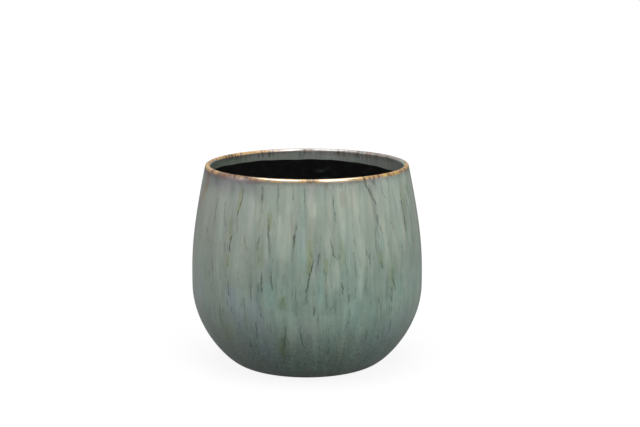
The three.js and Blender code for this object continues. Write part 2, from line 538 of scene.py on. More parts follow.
DARK_VEINS: tuple[Run, ...] = (
    *runs_of(
        1.1,
        ((-35.4, 13, 0.6), (-35.2, 19, 1), (-36, 26, 1), (-36.8, 32, 1), (-38.2, 42, 0.1)),
        ((-39.8, 55, 0.4), (-40.2, 62, 1), (-40.5, 66, 1), (-39.9, 71, 0.6)),
        ((-41.2, 80, 0.5), (-41, 84, 0.6)),
        ((-40.4, 98, 0.4), (-40, 106, 0.8), (-39.6, 111, 0.9)),
        ((-41, 118, 0.6), (-40.8, 121, 0.5)),
        ((-52.8, 24, 0.5), (-53.4, 32, 0.8), (-53.7, 38, 0.7), (-53.1, 47, 0.4), (-53.4, 53, 0.1)),
        ((-60, 53, 0.4), (-59.6, 60, 0.8), (-59, 68, 0.7), (-58.8, 73, 0.2)),
        ((37.6, 3, 0.8), (38.2, 8, 0.5)),
        ((63.6, 24, 0.3), (63.8, 31, 0.8), (63, 37, 0.2)),
        ((1.7, 65, 0.2), (2.5, 73, 0.8), (1.5, 85, 1), (-0.2, 102, 0.7), (-1.3, 114, 0.5)),
        ((-21.6, 86, 0.4), (-21.8, 93, 1), (-21.6, 101, 0.9), (-21.7, 106, 0.3)),
        ((-17, 84, 0.5), (-16.8, 91, 0.8), (-16.6, 97, 0.8), (-16.6, 102, 0.3)),
        ((-27.1, 99, 0.5), (-27.1, 106, 0.7), (-27, 111, 0.7)),
        ((3.2, 116, 0.5), (3.3, 121, 1), (3.3, 125, 0.6)),
        ((37, 79, 0.3), (38, 83, 0.8), (38.4, 86, 0.3)),
        ((44.4, 98, 0.4), (45.6, 103, 0.8), (46.8, 110, 0.4)),
        ((35.4, 113, 0.5), (35.7, 119, 0.6)),
        ((-32.2, 115, 0.5), (-32.3, 120, 0.5)),
        ((-54.5, 94, 0.6), (-54.5, 99, 0.6)),
        ((-55.3, 129, 0.5), (-55.8, 136, 0.6), (-57.4, 144, 0.3)),
        ((-44, 127, 0.5), (-44.6, 134, 0.6)),
        ((-38.4, 123, 0.6), (-37.8, 129, 0.5)),
        ((-22.8, 115, 0.5), (-22.3, 122, 0.6), (-22, 128, 0.8)),
        ((-25, 134, 0.5), (-25.2, 143, 0.7), (-25.6, 151, 0.2)),
        ((-30, 153, 0.5), (-30.2, 158, 0.8), (-30.6, 163, 0.7)),
        ((-10.1, 136, 0.3), (-10.5, 144, 0.6), (-11, 151, 0.6), (-11.6, 159, 0.4)),
        ((-3.4, 137, 0.5), (-3, 145, 0.9), (-2.3, 153, 0.7), (-0.9, 162, 0.5), (1.4, 174, 0.2)),
        ((29.9, 142, 0.4), (30.4, 151, 0.6), (31.4, 162, 0.5)),
        ((37.4, 147, 0.4), (38, 152, 0.7), (38.7, 157, 0.8)),
        ((44.5, 138, 0.5), (45.2, 145, 0.9), (46, 152, 0.5)),
        ((44.2, 125, 0.5), (44.6, 129, 0.6)),
        ((-26, 174, 0.5), (-25, 181, 0.7)),
        ((79, 20, 0.2), (78.2, 33, 0.8), (79.4, 46, 0.5), (78.8, 58, 0.1)),
        ((88, 38, 0.3), (87.2, 50, 0.9), (88.4, 60, 0.7), (87.6, 74, 0.3)),
        ((82.4, 78, 0.4), (83.2, 90, 0.8), (82.6, 101, 0.3)),
        ((-88.2, 88, 0.4), (-87.6, 99, 0.9), (-86.2, 108, 0.4)),
        ((-81, 94, 0.4), (-80.2, 106, 0.8), (-80.8, 115, 0.2)),
        ((86.6, 116, 0.4), (87.6, 127, 0.8), (89, 136, 0.3)),
        ((-84.6, 126, 0.4), (-83.8, 138, 0.8), (-82.6, 147, 0.2)),
        ((80.6, 134, 0.4), (82, 146, 0.7), (83.4, 154, 0.2)),
    ),
    *runs_of(
        1.6,
        ((-19.3, 36, 0.2), (-19.1, 43, 0.7), (-18.8, 51, 1), (-18.4, 58, 0.6), (-17.8, 71, 0.3)),
        ((-23.9, 8, 0.5), (-23.7, 14, 0.7), (-23.6, 20, 0.5)),
        ((-37.2, 40, 0.3), (-36.6, 46, 0.35), (-36.2, 51, 0.25)),
        ((-5.1, 40, 0.3), (-5.6, 47, 0.9), (-6.2, 52, 1), (-6.4, 58, 0.6), (-7.1, 74, 0.15)),
        ((32.4, 3, 0.9), (32.5, 8, 0.9), (33.9, 12, 0.9), (35.2, 17, 0.9), (37.3, 27, 0.4)),
        ((37.7, 36, 0.5), (37.4, 41, 0.8), (37.3, 45, 0.6)),
        ((58.3, 19, 0.3), (58, 27, 0.7), (57.9, 36, 0.5), (58.5, 52, 0.9), (58.4, 57, 0.4)),
        ((-23.6, 98, 0.3), (-23.2, 104, 0.4)),
        ((19.3, 106, 0.3), (19.7, 111, 0.7), (19.5, 115, 0.2)),
        ((44, 106, 0.6), (44.3, 113, 1), (44.2, 120, 0.6)),
        ((-46.2, 122, 0.3), (-46.6, 131, 0.4), (-46.4, 143, 0.3)),
        ((-82.6, 52, 0.3), (-83.4, 62, 0.8), (-82.2, 72, 0.4)),
    ),
    *runs_of(
        0.8,
        ((-43.6, 63, 0.3), (-43.6, 71, 0.5)),
        ((-42, 86, 0.3), (-41.8, 96, 0.4)),
        ((-47, 26, 0.3), (-46, 38, 0.4), (-45.1, 44, 0.6), (-44.9, 49, 0.3)),
        ((-31.7, 54, 0.4), (-31.2, 61, 0.6), (-30, 66, 0.6)),
        ((-23.4, 20, 0.5), (-23.2, 31, 0.3)),
        ((-21.5, 20, 0.3), (-21.3, 28, 0.4)),
        ((-15.2, 7, 0.5), (-15, 14, 0.7), (-15.1, 21, 0.4), (-14.6, 33, 0.4), (-14.8, 41, 0.3)),
        ((-7.2, 9, 0.4), (-7.1, 18, 0.5)),
        ((-1.3, 9, 0.6), (-1.1, 16, 0.8), (-1, 24, 0.3), (-1.1, 33, 0.3)),
        ((-23.8, 54, 0.6), (-24, 61, 0.7), (-24.5, 67, 0.2)),
        ((13.3, 14, 0.3), (13.4, 20, 0.7), (13.6, 29, 0.8), (13.9, 36, 0.5), (14.2, 41, 0.1)),
        ((10.6, 54, 0.3), (12.1, 62, 0.7), (12.4, 67, 0.7), (14.6, 75, 0.5), (16.2, 80, 0.2)),
        ((10.4, 4, 0.4), (10.6, 9, 0.2)),
        ((38, 46, 0.7), (39, 50, 0.7), (40.3, 55, 0.3)),
        ((37, 46, 0.6), (36, 50, 0.8), (35.2, 55, 0.6), (35, 63, 0.5), (35.4, 70, 0.2)),
        ((35, 17, 0.4), (35.7, 27, 0.3), (35.9, 40, 0.3)),
        ((28.2, 4, 0.6), (28.7, 9, 0.6)),
        ((43.2, 6, 0.5), (42.9, 13, 0.6), (43.2, 18, 0.7), (44.9, 23, 0.3)),
        ((48.6, 5, 0.5), (48.4, 13, 0.4), (48.7, 22, 0.4), (50, 28, 0.2)),
        ((46, 35, 0.4), (45.8, 43, 0.4), (47.6, 49, 0.7), (48.2, 51, 0.3)),
        ((60.4, 9, 0.4), (59.8, 14, 0.4)),
        ((6.3, 57, 0.3), (5.8, 65, 0.3), (5.2, 72, 0.9), (5, 78, 0.6), (5.3, 83, 0.3)),
        ((-11, 87, 0.3), (-11.2, 95, 0.4)),
        ((8.6, 84, 0.6), (8.7, 92, 0.4)),
        ((8.9, 105, 0.5), (9.1, 117, 0.5)),
        ((13.4, 112, 0.5), (12.3, 116, 0.8), (10.6, 119, 0.6)),
        ((13, 117, 0.4), (13.1, 122, 0.5)),
        ((16.3, 95, 0.3), (16.6, 101, 0.9), (16.6, 106, 0.2)),
        ((15.3, 70, 0.6), (15.5, 74, 0.6)),
        ((18.2, 68, 0.4), (18.5, 80, 0.4), (19.2, 86, 0.5)),
        ((22.7, 69, 0.5), (22.9, 79, 0.6), (23.2, 90, 0.3)),
        ((22.6, 98, 0.3), (22.8, 110, 0.5)),
        ((29.2, 67, 0.7), (29.4, 71, 0.6)),
        ((30.7, 71, 0.5), (30.9, 79, 0.9)),
        ((42.8, 63, 0.5), (43.2, 71, 0.3)),
        ((52.8, 67, 0.5), (53.6, 75, 0.5)),
        ((56.2, 67, 0.5), (57.8, 76, 0.4)),
        ((65.4, 57, 0.5), (65.6, 66, 0.6), (65.4, 70, 0.2)),
        ((28.3, 93, 0.4), (28.2, 99, 0.8), (28.2, 106, 0.4)),
        ((51, 95, 0.4), (51.2, 104, 0.3)),
        ((36.9, 119, 0.4), (37.2, 127, 0.6), (37.8, 140, 0.3)),
        ((-30.8, 112, 0.5), (-30.8, 121, 0.5)),
        ((-45.5, 94, 0.5), (-45.4, 99, 0.4)),
        ((-52, 82, 0.4), (-51.4, 90, 0.3)),
        ((-52.4, 104, 0.5), (-51.4, 111, 0.4)),
        ((-34.4, 137, 0.4), (-34.7, 144, 0.3)),
        ((10.7, 159, 0.7), (10.9, 163, 0.8), (10.6, 168, 0.3)),
        ((20, 121, 0.5), (20.4, 127, 0.5), (18.5, 138, 0.4)),
        ((50, 120, 0.3), (50.4, 132, 0.4)),
        ((-22.6, 176, 0.5), (-23.2, 184, 0.5)),
        ((25.2, 175, 0.5), (26.4, 183, 0.5)),
        ((84.5, 4, 0.6), (85, 12, 0.6), (86.4, 22, 0.2)),
        ((-87, 14, 0.3), (-86.5, 26, 0.6), (-87.4, 37, 0.2)),
        ((-79.4, 30, 0.3), (-78.8, 41, 0.7), (-79.8, 50, 0.2)),
        ((78, 104, 0.3), (78.8, 113, 0.6)),
    ),
)

# Soft dark runs in the glaze; the two at the lower sides of the base are painted shade.
SOFT_SHADES: tuple[Run, ...] = (
    *runs_of(
        2.6,
        ((-23.8, 8, 0.5), (-23.6, 15, 0.7), (-23.4, 22, 0.2)),
        ((-28.2, 3, 0.8), (-27.8, 12, 0.7), (-27.4, 22, 0.2)),
        ((-15.2, 5, 0.6), (-15, 14, 0.6), (-14.9, 22, 0.2)),
        ((37.6, 3, 0.9), (38, 8, 0.6)),
        ((18, 3, 0.6), (18.6, 9, 0.4)),
        ((64.2, 22, 0.3), (64, 30, 0.7), (63, 37, 0.2)),
        ((41.2, 92, 0.1), (41, 108, 0.6), (40.8, 124, 0.1)),
        ((16.6, 84, 0.2), (16.4, 96, 0.6), (16.5, 112, 0.2)),
        ((-88, 30, 0.2), (-86, 55, 0.6), (-85.4, 80, 0.2)),
        ((80, 100, 0.2), (80.6, 114, 0.7), (81.4, 130, 0.2)),
    ),
    *runs_of(
        4.2,
        ((-46, 20, 0.3), (-45.6, 33, 0.7), (-44.6, 49, 0.3)),
        ((-55, 10, 0.3), (-54.6, 32, 0.5), (-54.2, 54, 0.2)),
        ((-17.6, 64, 0.2), (-17.2, 76, 0.4), (-17, 90, 0.2)),
        ((-26.6, 78, 0.2), (-26.5, 90, 0.6), (-26.4, 102, 0.2)),
        ((-6.8, 58, 0.3), (-6.9, 74, 0.6), (-6.6, 92, 0.2)),
        ((34.4, 9, 0.8), (36, 22, 1), (36.6, 36, 0.9), (37, 50, 0.8), (37.2, 58, 0.2)),
        ((18, 10, 0.3), (18, 18, 0.7), (18, 26, 0.1)),
        ((37.2, 68, 0.2), (37.6, 77, 0.5), (38.2, 86, 0.3)),
        ((-23, 95, 0.3), (-22.6, 103, 0.6), (-22.4, 110, 0.2)),
        ((83.8, 26, 0.2), (84.4, 46, 0.6), (84, 66, 0.2)),
        ((6.2, 166, 0.3), (6.6, 176, 0.6), (7.4, 186, 0.4)),
        ((20.8, 86, 0.2), (20.6, 104, 0.4), (20.2, 116, 0.1)),
        ((5.8, 88, 0.1), (5.6, 100, 0.15), (5.4, 112, 0.1)),
        ((0.2, 24, 0.3), (0.6, 38, 0.7), (1, 52, 0.3)),
        ((53, 68, 0.2), (52.8, 80, 0.7), (52.4, 92, 0.1)),
    ),
    *runs_of(
        6,
        ((-57.6, 4, 0.9), (-57, 9, 1), (-56.4, 14, 0.1)),
        ((-41.6, 4, 0.9), (-41.4, 9, 0.9), (-41, 18, 0.6), (-40.2, 38, 0.9), (-39.8, 54, 0.2)),
        ((68.4, 15, 0.3), (68, 22, 0.9), (67.8, 30, 0.2)),
        ((30.6, 3, 0.2), (30.8, 8, 0.2), (31, 12, 0.1)),
        ((4.6, 32, 0.2), (4.4, 48, 0.7), (4, 64, 0.1), (3.8, 82, 0.1)),
        ((60, 14, 0.1), (59.8, 34, 0.3), (59.6, 48, 0.5), (59.4, 60, 0.1)),
        ((68.6, 56, 0.3), (68.6, 66, 0.6), (68.4, 78, 0.2)),
        ((-4.4, 110, 0.3), (-4.6, 118, 1), (-4.8, 126, 0.2)),
        ((50.8, 96, 0.2), (50.6, 106, 0.5), (50.4, 118, 0.1)),
        ((-12.2, 148, 0.3), (-12.4, 160, 0.7), (-12.6, 172, 0.3)),
        ((45, 138, 0.2), (45.4, 150, 0.5), (46.4, 164, 0.2)),
        ((-81, 58, 0.2), (-80.4, 78, 0.6), (-80.8, 98, 0.2)),
        ((67.2, 32, 0.3), (67, 46, 1), (65.6, 62, 0.8), (64.8, 82, 0.5), (64.6, 92, 0.1)),
        ((40.4, 126, 0.2), (40, 140, 0.7), (40.6, 156, 0.3)),
        ((70.4, 20, 0.5), (70.2, 32, 0.9), (70, 46, 0.9), (69.6, 58, 0.2)),
        ((62.4, 70, 0.2), (62.2, 81, 0.9), (62, 94, 0.2)),
    ),
    *runs_of(
        9,
        ((10.6, 102, 0.2), (10.4, 114, 1), (10.6, 126, 0.2)),
        # Painted shade: these two runs darken the lower sides of the base.
        ((-61, 174, 0.3), (-60, 186, 1)),
        ((64, 174, 0.3), (62.6, 186, 1)),
    ),
    *runs_of(
        14,
        ((-56, 144, 0.3), (-54.6, 160, 1), (-54, 184, 1)),
    ),
)

# Pale columns in the glaze, and two painted highlights among them.
PALE_COLUMNS_AND_GLINTS: tuple[Run, ...] = (
    *runs_of(
        3.4,
        ((-50.4, 7, 0.6), (-50.3, 14, 0.8), (-50.4, 20, 0.4)),
        ((11, 12, 0.3), (11.2, 34, 0.9), (9.8, 58, 1), (9.8, 72, 0.7), (9.8, 84, 0.2)),
        ((6, 84, 0.1), (6.1, 100, 0.3), (5.9, 116, 0.1)),
        ((32.2, 70, 0.2), (32, 84, 0.6), (31.8, 98, 0.6), (31.6, 110, 0.1)),
        ((-21.8, 22, 0.2), (-21.4, 36, 0.5), (-21.2, 52, 0.2)),
        ((-25.4, 22, 0.3), (-25.2, 30, 0.8), (-25, 40, 0.2)),
        # Painted highlight: a thin glint down the right side.
        ((65.8, 20, 0.3), (66, 27, 0.7), (66.3, 34, 0.3)),
        ((42, 54, 0.3), (42, 68, 0.7), (41.6, 82, 0.2)),
        ((25.8, 82, 0.4), (25.6, 98, 0.8), (25.2, 114, 0.2)),
        # Painted highlight: a small glint on the left side.
        ((-64.8, 42, 0.3), (-64.4, 48, 0.6), (-64.2, 54, 0.1)),
        ((3.4, 140, 0.3), (4, 156, 0.5), (5, 174, 0.2)),
        ((-83.6, 98, 0.2), (-84.4, 110, 0.7), (-84.8, 122, 0.2)),
    ),
    *runs_of(
        5.6,
        ((-50.2, 19, 0.4), (-49.2, 36, 0.9), (-48, 52, 0.8), (-47.8, 64, 0.2)),
        ((-29.4, 10, 0.3), (-29.2, 30, 0.5), (-29, 52, 0.3)),
        ((-9.8, 7, 0.6), (-9.8, 20, 0.8), (-10.6, 33, 0.4)),
        ((0.8, 6, 0.4), (1.2, 14, 0.5), (2.6, 26, 0.6), (2.8, 35, 0.1)),
        ((17.2, 10, 0.3), (17, 28, 0.8), (16.8, 38, 0.8), (17.4, 60, 0.4)),
        ((27, 54, 0.3), (27.2, 68, 0.7), (26.8, 82, 0.3)),
        ((53.4, 8, 0.9), (53.4, 30, 1), (53.2, 50, 1), (52.6, 66, 0.4)),
        ((60.2, 8, 0.4), (60, 18, 0.7), (59.8, 27, 0.1)),
        ((56.6, 30, 0.4), (56.2, 46, 0.6), (55.2, 66, 0.5), (54.8, 76, 0.1)),
        ((-51.2, 54, 0.3), (-50.2, 70, 0.7), (-49, 88, 0.7), (-48, 102, 0.2)),
        ((-19, 48, 0.3), (-18.4, 66, 0.7), (-16.6, 82, 0.8), (-16, 94, 0.2)),
        ((50, 22, 0.3), (50, 44, 0.9), (48.4, 58, 0.8), (48.6, 70, 0.6), (50, 80, 0.1)),
        ((-44.6, 86, 0.2), (-44.4, 100, 0.8), (-44.2, 114, 0.1)),
        ((-12.6, 88, 0.2), (-12.2, 102, 1), (-12, 114, 0.1)),
        ((-13.2, 120, 0.2), (-13.2, 129, 0.9), (-13.2, 140, 0.2)),
        ((7.2, 124, 0.2), (7.2, 133, 0.8), (7.4, 144, 0.2)),
        ((-69.6, 20, 0.2), (-70, 28, 0.8), (-71, 38, 0.3)),
        ((-64.4, 16, 0.4), (-64, 30, 0.8), (-64, 48, 0.6), (-64.2, 58, 0.1)),
        ((56.4, 8, 0.7), (56.2, 18, 1), (56, 28, 0.3)),
        ((65, 7, 0.5), (65, 12, 0.6), (65, 16, 0.1)),
        ((13.6, 74, 0.4), (13.6, 86, 0.8), (13.4, 100, 0.2)),
        ((-2.6, 42, 0.2), (-2.6, 54, 0.4), (-2.8, 67, 0.5), (-2.6, 86, 0.7), (-2.6, 100, 0.2)),
        ((-7.4, 122, 0.5), (-7.4, 136, 1), (-7.6, 152, 0.3)),
        ((81.6, 8, 0.3), (81.4, 34, 0.7), (81.8, 62, 0.2)),
        ((-81.6, 8, 0.3), (-82, 26, 0.7), (-82.2, 46, 0.2)),
        ((89.6, 62, 0.3), (89, 76, 0.7), (88.8, 92, 0.2)),
    ),
    *runs_of(
        9,
        ((-12.4, 32, 0.3), (-12.4, 48, 0.9), (-12.4, 66, 0.8), (-12.2, 76, 0.1)),
        ((-35, 58, 0.3), (-35, 76, 0.6), (-35.2, 94, 0.2)),
        ((24.8, 8, 0.3), (24.8, 26, 0.4), (24.6, 40, 0.1)),
        ((44, 26, 0.3), (43.4, 42, 0.5), (42.6, 56, 0.2)),
        ((-18, 94, 0.2), (-18.2, 106, 0.6), (-18.4, 122, 0.2)),
        ((2, 124, 0.4), (2.2, 132, 0.6), (2.6, 142, 0.1)),
        ((22.4, 122, 0.2), (24, 135, 0.8), (25.4, 148, 0.2)),
        ((-73, 54, 0.4), (-73, 84, 1), (-72, 110, 1), (-71, 134, 0.4)),
        ((69.6, 98, 0.3), (68.6, 120, 1), (67, 142, 0.9), (66, 156, 0.2)),
        ((-34.6, 104, 0.2), (-33.8, 118, 0.5), (-33, 132, 0.1)),
        ((-30, 104, 0.2), (-27.4, 118, 0.9), (-25.6, 132, 0.3), (-24.6, 142, 0.1)),
        ((-66.4, 68, 0.3), (-66, 88, 0.8), (-66, 114, 1), (-65.4, 134, 0.4)),
        ((62, 96, 0.2), (62, 106, 0.5), (62, 118, 0.1)),
        ((51.4, 32, 0.3), (51.4, 44, 1), (51, 56, 0.3)),
    ),
)

OLIVE_RUNS: tuple[Run, ...] = (
    *runs_of(
        2.8,
        ((-41.2, 72, 0.2), (-41.1, 79, 1), (-41, 86, 0.2)),
        ((9, 71, 0.2), (9.1, 79, 0.9), (9, 86, 0.1)),
        ((10.3, 3, 0.4), (10.4, 9, 0.2)),
        ((32.4, 3, 0.7), (32.8, 8, 0.6), (34.4, 13, 0.1)),
        ((-30.3, 122, 0.2), (-30.3, 133, 0.45), (-30.3, 143, 0.1)),
        ((46.4, 82, 0.3), (46.4, 89, 0.6), (45.8, 94, 0.1)),
    ),
    *runs_of(
        5.2,
        ((-69, 3, 0.8), (-68.6, 7, 0.4)),
        ((44, 87, 0.2), (44.1, 97, 0.8), (44.4, 106, 0.1)),
        ((60.4, 13, 0.2), (60, 26, 0.5), (59.6, 44, 0.1)),
        ((67.8, 14, 0.4), (67.8, 20, 0.9), (67.6, 26, 0.2)),
        ((-68, 12, 0.3), (-68, 18, 0.8), (-67.8, 23, 0.1)),
        ((-22.8, 60, 0.1), (-22.8, 72, 0.4), (-22.4, 82, 0.1)),
        ((-11.2, 106, 0.1), (-11.3, 113, 0.8), (-11.4, 120, 0.2)),
        ((-12, 147, 0.2), (-12.4, 160, 0.9), (-12.8, 172, 0.2)),
        ((88.2, 98, 0.2), (88.6, 110, 0.7), (89, 122, 0.1)),
    ),
    *runs_of(
        4,
        ((-36.2, 8, 0.4), (-36.4, 16, 1), (-36.6, 26, 1), (-37.2, 34, 0.2)),
        ((-40.8, 40, 0.2), (-40.6, 50, 0.8), (-40.4, 61, 0.3)),
        ((-18.6, 30, 0.2), (-18.4, 38, 0.7), (-18, 46, 0.1)),
        ((1.4, 52, 0.1), (1.4, 64, 0.9), (1.3, 78, 1), (0.6, 88, 0.2)),
        ((16.6, 54, 0.2), (16.8, 68, 0.7), (17, 80, 0.1)),
        ((37, 68, 0.2), (37.4, 78, 0.6), (37.8, 86, 0.1)),
        ((-86.8, 40, 0.2), (-86.2, 54, 0.8), (-86.6, 66, 0.1)),
        ((79.8, 60, 0.2), (79.4, 72, 0.7), (79.8, 84, 0.1)),
    ),
    *runs_of(
        9,
        ((-58.6, 86, 0.05), (-58.4, 96, 0.15), (-58, 106, 0.05)),
        ((-43, 142, 0.2), (-43.4, 150, 0.6), (-44.6, 162, 0.2)),
    ),
)

ROSE_RUNS: tuple[Run, ...] = (
    *runs_of(
        2,
        ((-7.6, 34, 0.2), (-7.5, 46, 0.35), (-7.7, 56, 0.1)),
        ((8.7, 91, 0.3), (8.9, 99, 0.5), (9, 107, 0.1)),
    ),
    *runs_of(
        4,
        ((46.6, 67, 0.05), (46.8, 75, 0.2), (46.6, 84, 0.05)),
        ((18, 11, 0.1), (18, 18, 0.2), (18.2, 26, 0.1)),
        ((0, 142, 0.2), (0, 151, 0.3), (0.2, 160, 0.1)),
        ((-68.4, 4, 0.5), (-67.4, 12, 0.7), (-68.4, 18, 0.3)),
    ),
    *runs_of(
        9,
        ((-71, 3, 0.8), (-70, 9, 0.8), (-70.4, 16, 0.8), (-71.6, 26, 0.7), (-75, 40, 0.3)),
        ((-72, 56, 0.05), (-72, 66, 0.1), (-72, 78, 0.05)),
        ((88, 14, 0.1), (88, 26, 0.3), (88.4, 40, 0.1)),
    ),
)

LAVENDER_PATCHES: tuple[Run, ...] = (
    *runs_of(
        6,
        ((-29.6, 10, 0.3), (-29.6, 26, 0.5), (-29.4, 44, 0.3)),
        ((-50.4, 6, 0.6), (-50.4, 14, 0.6), (-50.4, 22, 0.1)),
        ((1, 7, 0.4), (1, 15, 0.4), (1.2, 22, 0.1)),
        ((-2.6, 44, 0.2), (-2.6, 53, 0.5), (-2.6, 62, 0.1)),
        ((3.9, 62, 0.2), (3.8, 75, 0.8), (3.8, 88, 0.2)),
        ((-18.4, 72, 0.2), (-18.2, 79, 0.5), (-18, 88, 0.1)),
        ((20, 60, 0.1), (20, 68, 0.2), (20, 76, 0.1)),
        ((-80.6, 20, 0.2), (-80.4, 40, 0.5), (-80.6, 60, 0.1)),
    ),
    *runs_of(
        14,
        ((-57, 3, 0.7), (-56.6, 9, 0.7), (-56, 14, 0.1)),
        ((-37.6, 102, 0.1), (-38.4, 114, 1), (-37, 128, 0.8), (-36, 142, 0.4)),
        ((-66, 88, 0.1), (-66, 108, 0.6), (-65, 132, 0.5), (-63, 146, 0.2)),
        ((-2, 124, 0.1), (0, 142, 0.4), (2, 166, 0.3)),
        ((-27, 108, 0.2), (-26, 122, 0.9), (-24, 136, 0.9), (-25, 152, 0.5)),
        ((44, 134, 0.1), (45, 150, 0.8), (44, 168, 0.3)),
        ((31, 148, 0.1), (33, 164, 0.6), (36, 180, 0.2)),
        ((62, 94, 0.1), (62, 104, 0.4), (62, 118, 0.1)),
        ((84, 90, 0.1), (85, 110, 0.6), (86, 136, 0.1)),
        ((56, 126, 0.1), (57, 140, 0.6), (56, 156, 0.2)),
        ((-19, 132, 0.3), (-20, 150, 0.7), (-22, 166, 0.9), (-22, 182, 0.8)),
        ((-34, 116, 0.3), (-33, 134, 0.9), (-33, 152, 0.5), (-34, 172, 0.5)),
    ),
)

TEAL_PATCHES: tuple[Run, ...] = (
    *runs_of(
        7,
        ((-18, 92, 0.2), (-18, 104, 0.8), (-18, 120, 0.2)),
        ((-33, 102, 0.1), (-33, 113, 0.5), (-32.4, 126, 0.2)),
        ((50.6, 96, 0.2), (50.6, 107, 0.6), (50.4, 120, 0.1)),
        ((24, 118, 0.2), (24, 134, 0.6), (24.4, 150, 0.1)),
        ((6, 84, 0.2), (6, 100, 0.6), (6, 116, 0.1)),
        ((39.2, 52, 0.2), (39.2, 62, 0.7), (39, 72, 0.1)),
        ((-3, 28, 0.1), (-2.8, 42, 0.5), (-3, 66, 0.7), (-3, 78, 0.1)),
        ((-11.4, 38, 0.1), (-11.4, 51, 0.4), (-12, 68, 0.1)),
        ((-84, 60, 0.1), (-84, 80, 0.6), (-84, 104, 0.1)),
        ((34, 130, 0.2), (36, 152, 0.5), (36, 182, 0.5)),
        ((-28, 108, 0.1), (-29, 122, 0.5), (-30, 136, 0.2)),
        ((52, 44, 0.1), (52.6, 58, 0.4), (53, 84, 0.3), (53, 96, 0.1)),
    ),
    *runs_of(
        14,
        ((-38, 104, 0.2), (-35, 122, 0.5), (-30, 144, 0.5), (-26, 172, 0.3)),
        ((-62, 70, 0.1), (-60, 96, 0.3), (-58, 124, 0.3), (-56, 148, 0.2)),
    ),
)

# Painted shade: runs that darken the wall close under the lip, through LIP_SHADE.
LIP_SHADES: tuple[Run, ...] = (
    *runs_of(
        6,
        ((-38.4, 3, 1), (-38, 7, 0.7), (-37, 10, 0.3), (-36.8, 15, 0.1)),
        ((-43.4, 4, 0.5), (-42.8, 10, 0.5), (-42.4, 19, 0.3), (-42, 28, 0.1)),
        ((-69.4, 3, 0.6), (-69, 6, 0.4)),
        ((-58.6, 3, 0.5), (-57.6, 9, 0.4), (-57, 14, 0.1)),
        ((37.2, 3, 0.6), (37.4, 8, 0.5), (37.4, 14, 0.2)),
    ),
)

LIP_GOLD: tuple[Point, ...] = (
    (-180, 0.25), (-172, 0.3), (-164, 0.4), (-150, 0.85), (-120, 0.9), (-90, 0.9), (-76, 1), (-66, 0.75),
    (-50, 0.5), (-42, 0.45), (-34, 0.5), (-20, 0.8), (0, 0.95), (40, 0.95), (72, 0.95), (86, 0.8),
    (94, 0.3), (102, 0.08), (150, 0), (166, 0.1), (180, 0.25),
)
LIP_GLOSS: tuple[Point, ...] = (
    (-180, 0.1), (-177, 0.1), (-175, 0.9), (-165, 0.9), (-162, 0.5), (-156, 0.5), (-151, 0.2),
    (-120, 0.25), (-90, 0.25), (-80, 0.5), (-74, 0.7), (-66, 0.45), (-52, 0.3), (-46, 0.05), (-41, 0.05),
    (-37, 0.3), (-33, 0.2), (-28, 0.6), (-25, 1), (-5, 1), (-2, 0.1), (5, 0.1), (7, 1), (27, 1),
    (31, 0.1), (120, 0.15), (146, 0.25), (156, 0.6), (172, 0.6), (176, 0.4), (178, 0.1), (180, 0.1),
)
LIP_MAUVE: tuple[Point, ...] = (
    (-180, 0.3), (-90, 0.3), (-74, 0.6), (-66, 0.9), (-38, 1), (-28, 0.9), (-24, 0.3), (-16, 0.3),
    (-10, 0.1), (-4, 0.25), (6, 0.4), (14, 0.25), (20, 0.1), (28, 0.3), (40, 0.3), (46, 0.1), (90, 0.1),
    (120, 0.4), (180, 0.3),
)
# How strongly painted shade darkens the glaze just under and inside the lip, round the pot.
LIP_UNDER_SHADE: tuple[Point, ...] = (
    (-180, 0.5), (-150, 0.8), (-90, 0.8), (-66, 0.7), (-42, 1), (-26, 0.9), (-12, 0.7), (-4, 0.6),
    (-1, 0.2), (4, 0.2), (8, 0.6), (12, 0.8), (22, 0.8), (32, 0.5), (42, 0.4), (48, 0.7), (54, 0.2),
    (62, 0.6), (86, 0.6), (100, 0.1), (174, 0.1), (180, 0.5),
)
LIP_THIN: tuple[Point, ...] = (
    (-180, 0.1), (-122, 0.1), (-104, 0.35), (-92, 0.5), (-82, 0.35), (-70, 0.1), (56, 0.1), (70, 0.3),
    (78, 0.5), (86, 1), (98, 1), (108, 0.2), (118, 0), (164, 0), (180, 0.1),
)
LIP_FLECKS: tuple[Point, ...] = (
    (-180, 0.9), (-177, 0.9), (-174, 0.2), (-164, 0.4), (-158, 1), (-140, 0.8), (-128, 1), (-104, 0.9),
    (-84, 0.6), (-78, 0.15), (-70, 0.3), (-62, 0.9), (-46, 1), (-36, 1), (-25, 0.15), (-6, 0.1),
    (-1, 0.7), (5, 0.5), (9, 0.1), (26, 0.1), (30, 0.9), (60, 0.9), (90, 0.7), (110, 0.3), (128, 0.65),
    (162, 0.65), (168, 0.2), (176, 0.3), (180, 0.9),
)
# Painted shade inside the neck: 0 shows the shaded colour, 1 the lit one, darkest on the back-left.
NECK_SHADING: tuple[Point, ...] = (
    (-180, 0.75), (-164, 0.7), (-146, 0.5), (-132, 0.2), (-100, 0.1), (0, 0.4), (110, 0.6), (140, 0.65),
    (154, 0.7), (164, 1), (172, 1), (180, 0.75),
)

SWAY = Pattern(3.6, 9.0, 61.0, fade=Fade(0.25, 0.75, -0.4, 0.4, Step.EVEN))
KINK = Pattern(1.6, 3.4, 63.0, 1.0, Fade(0.25, 0.75, -0.24, 0.24, Step.EVEN))
FLECKS = Pattern(3.0, 22.0, 41.0, fade=Fade(0.51, 0.585))
DEEP_SAGE = srgb(100, 115, 106)
# The multiply colour of the painted shade under and inside the lip.
LIP_SHADE: Colour = (0.58, 0.57, 0.58, 1.0)


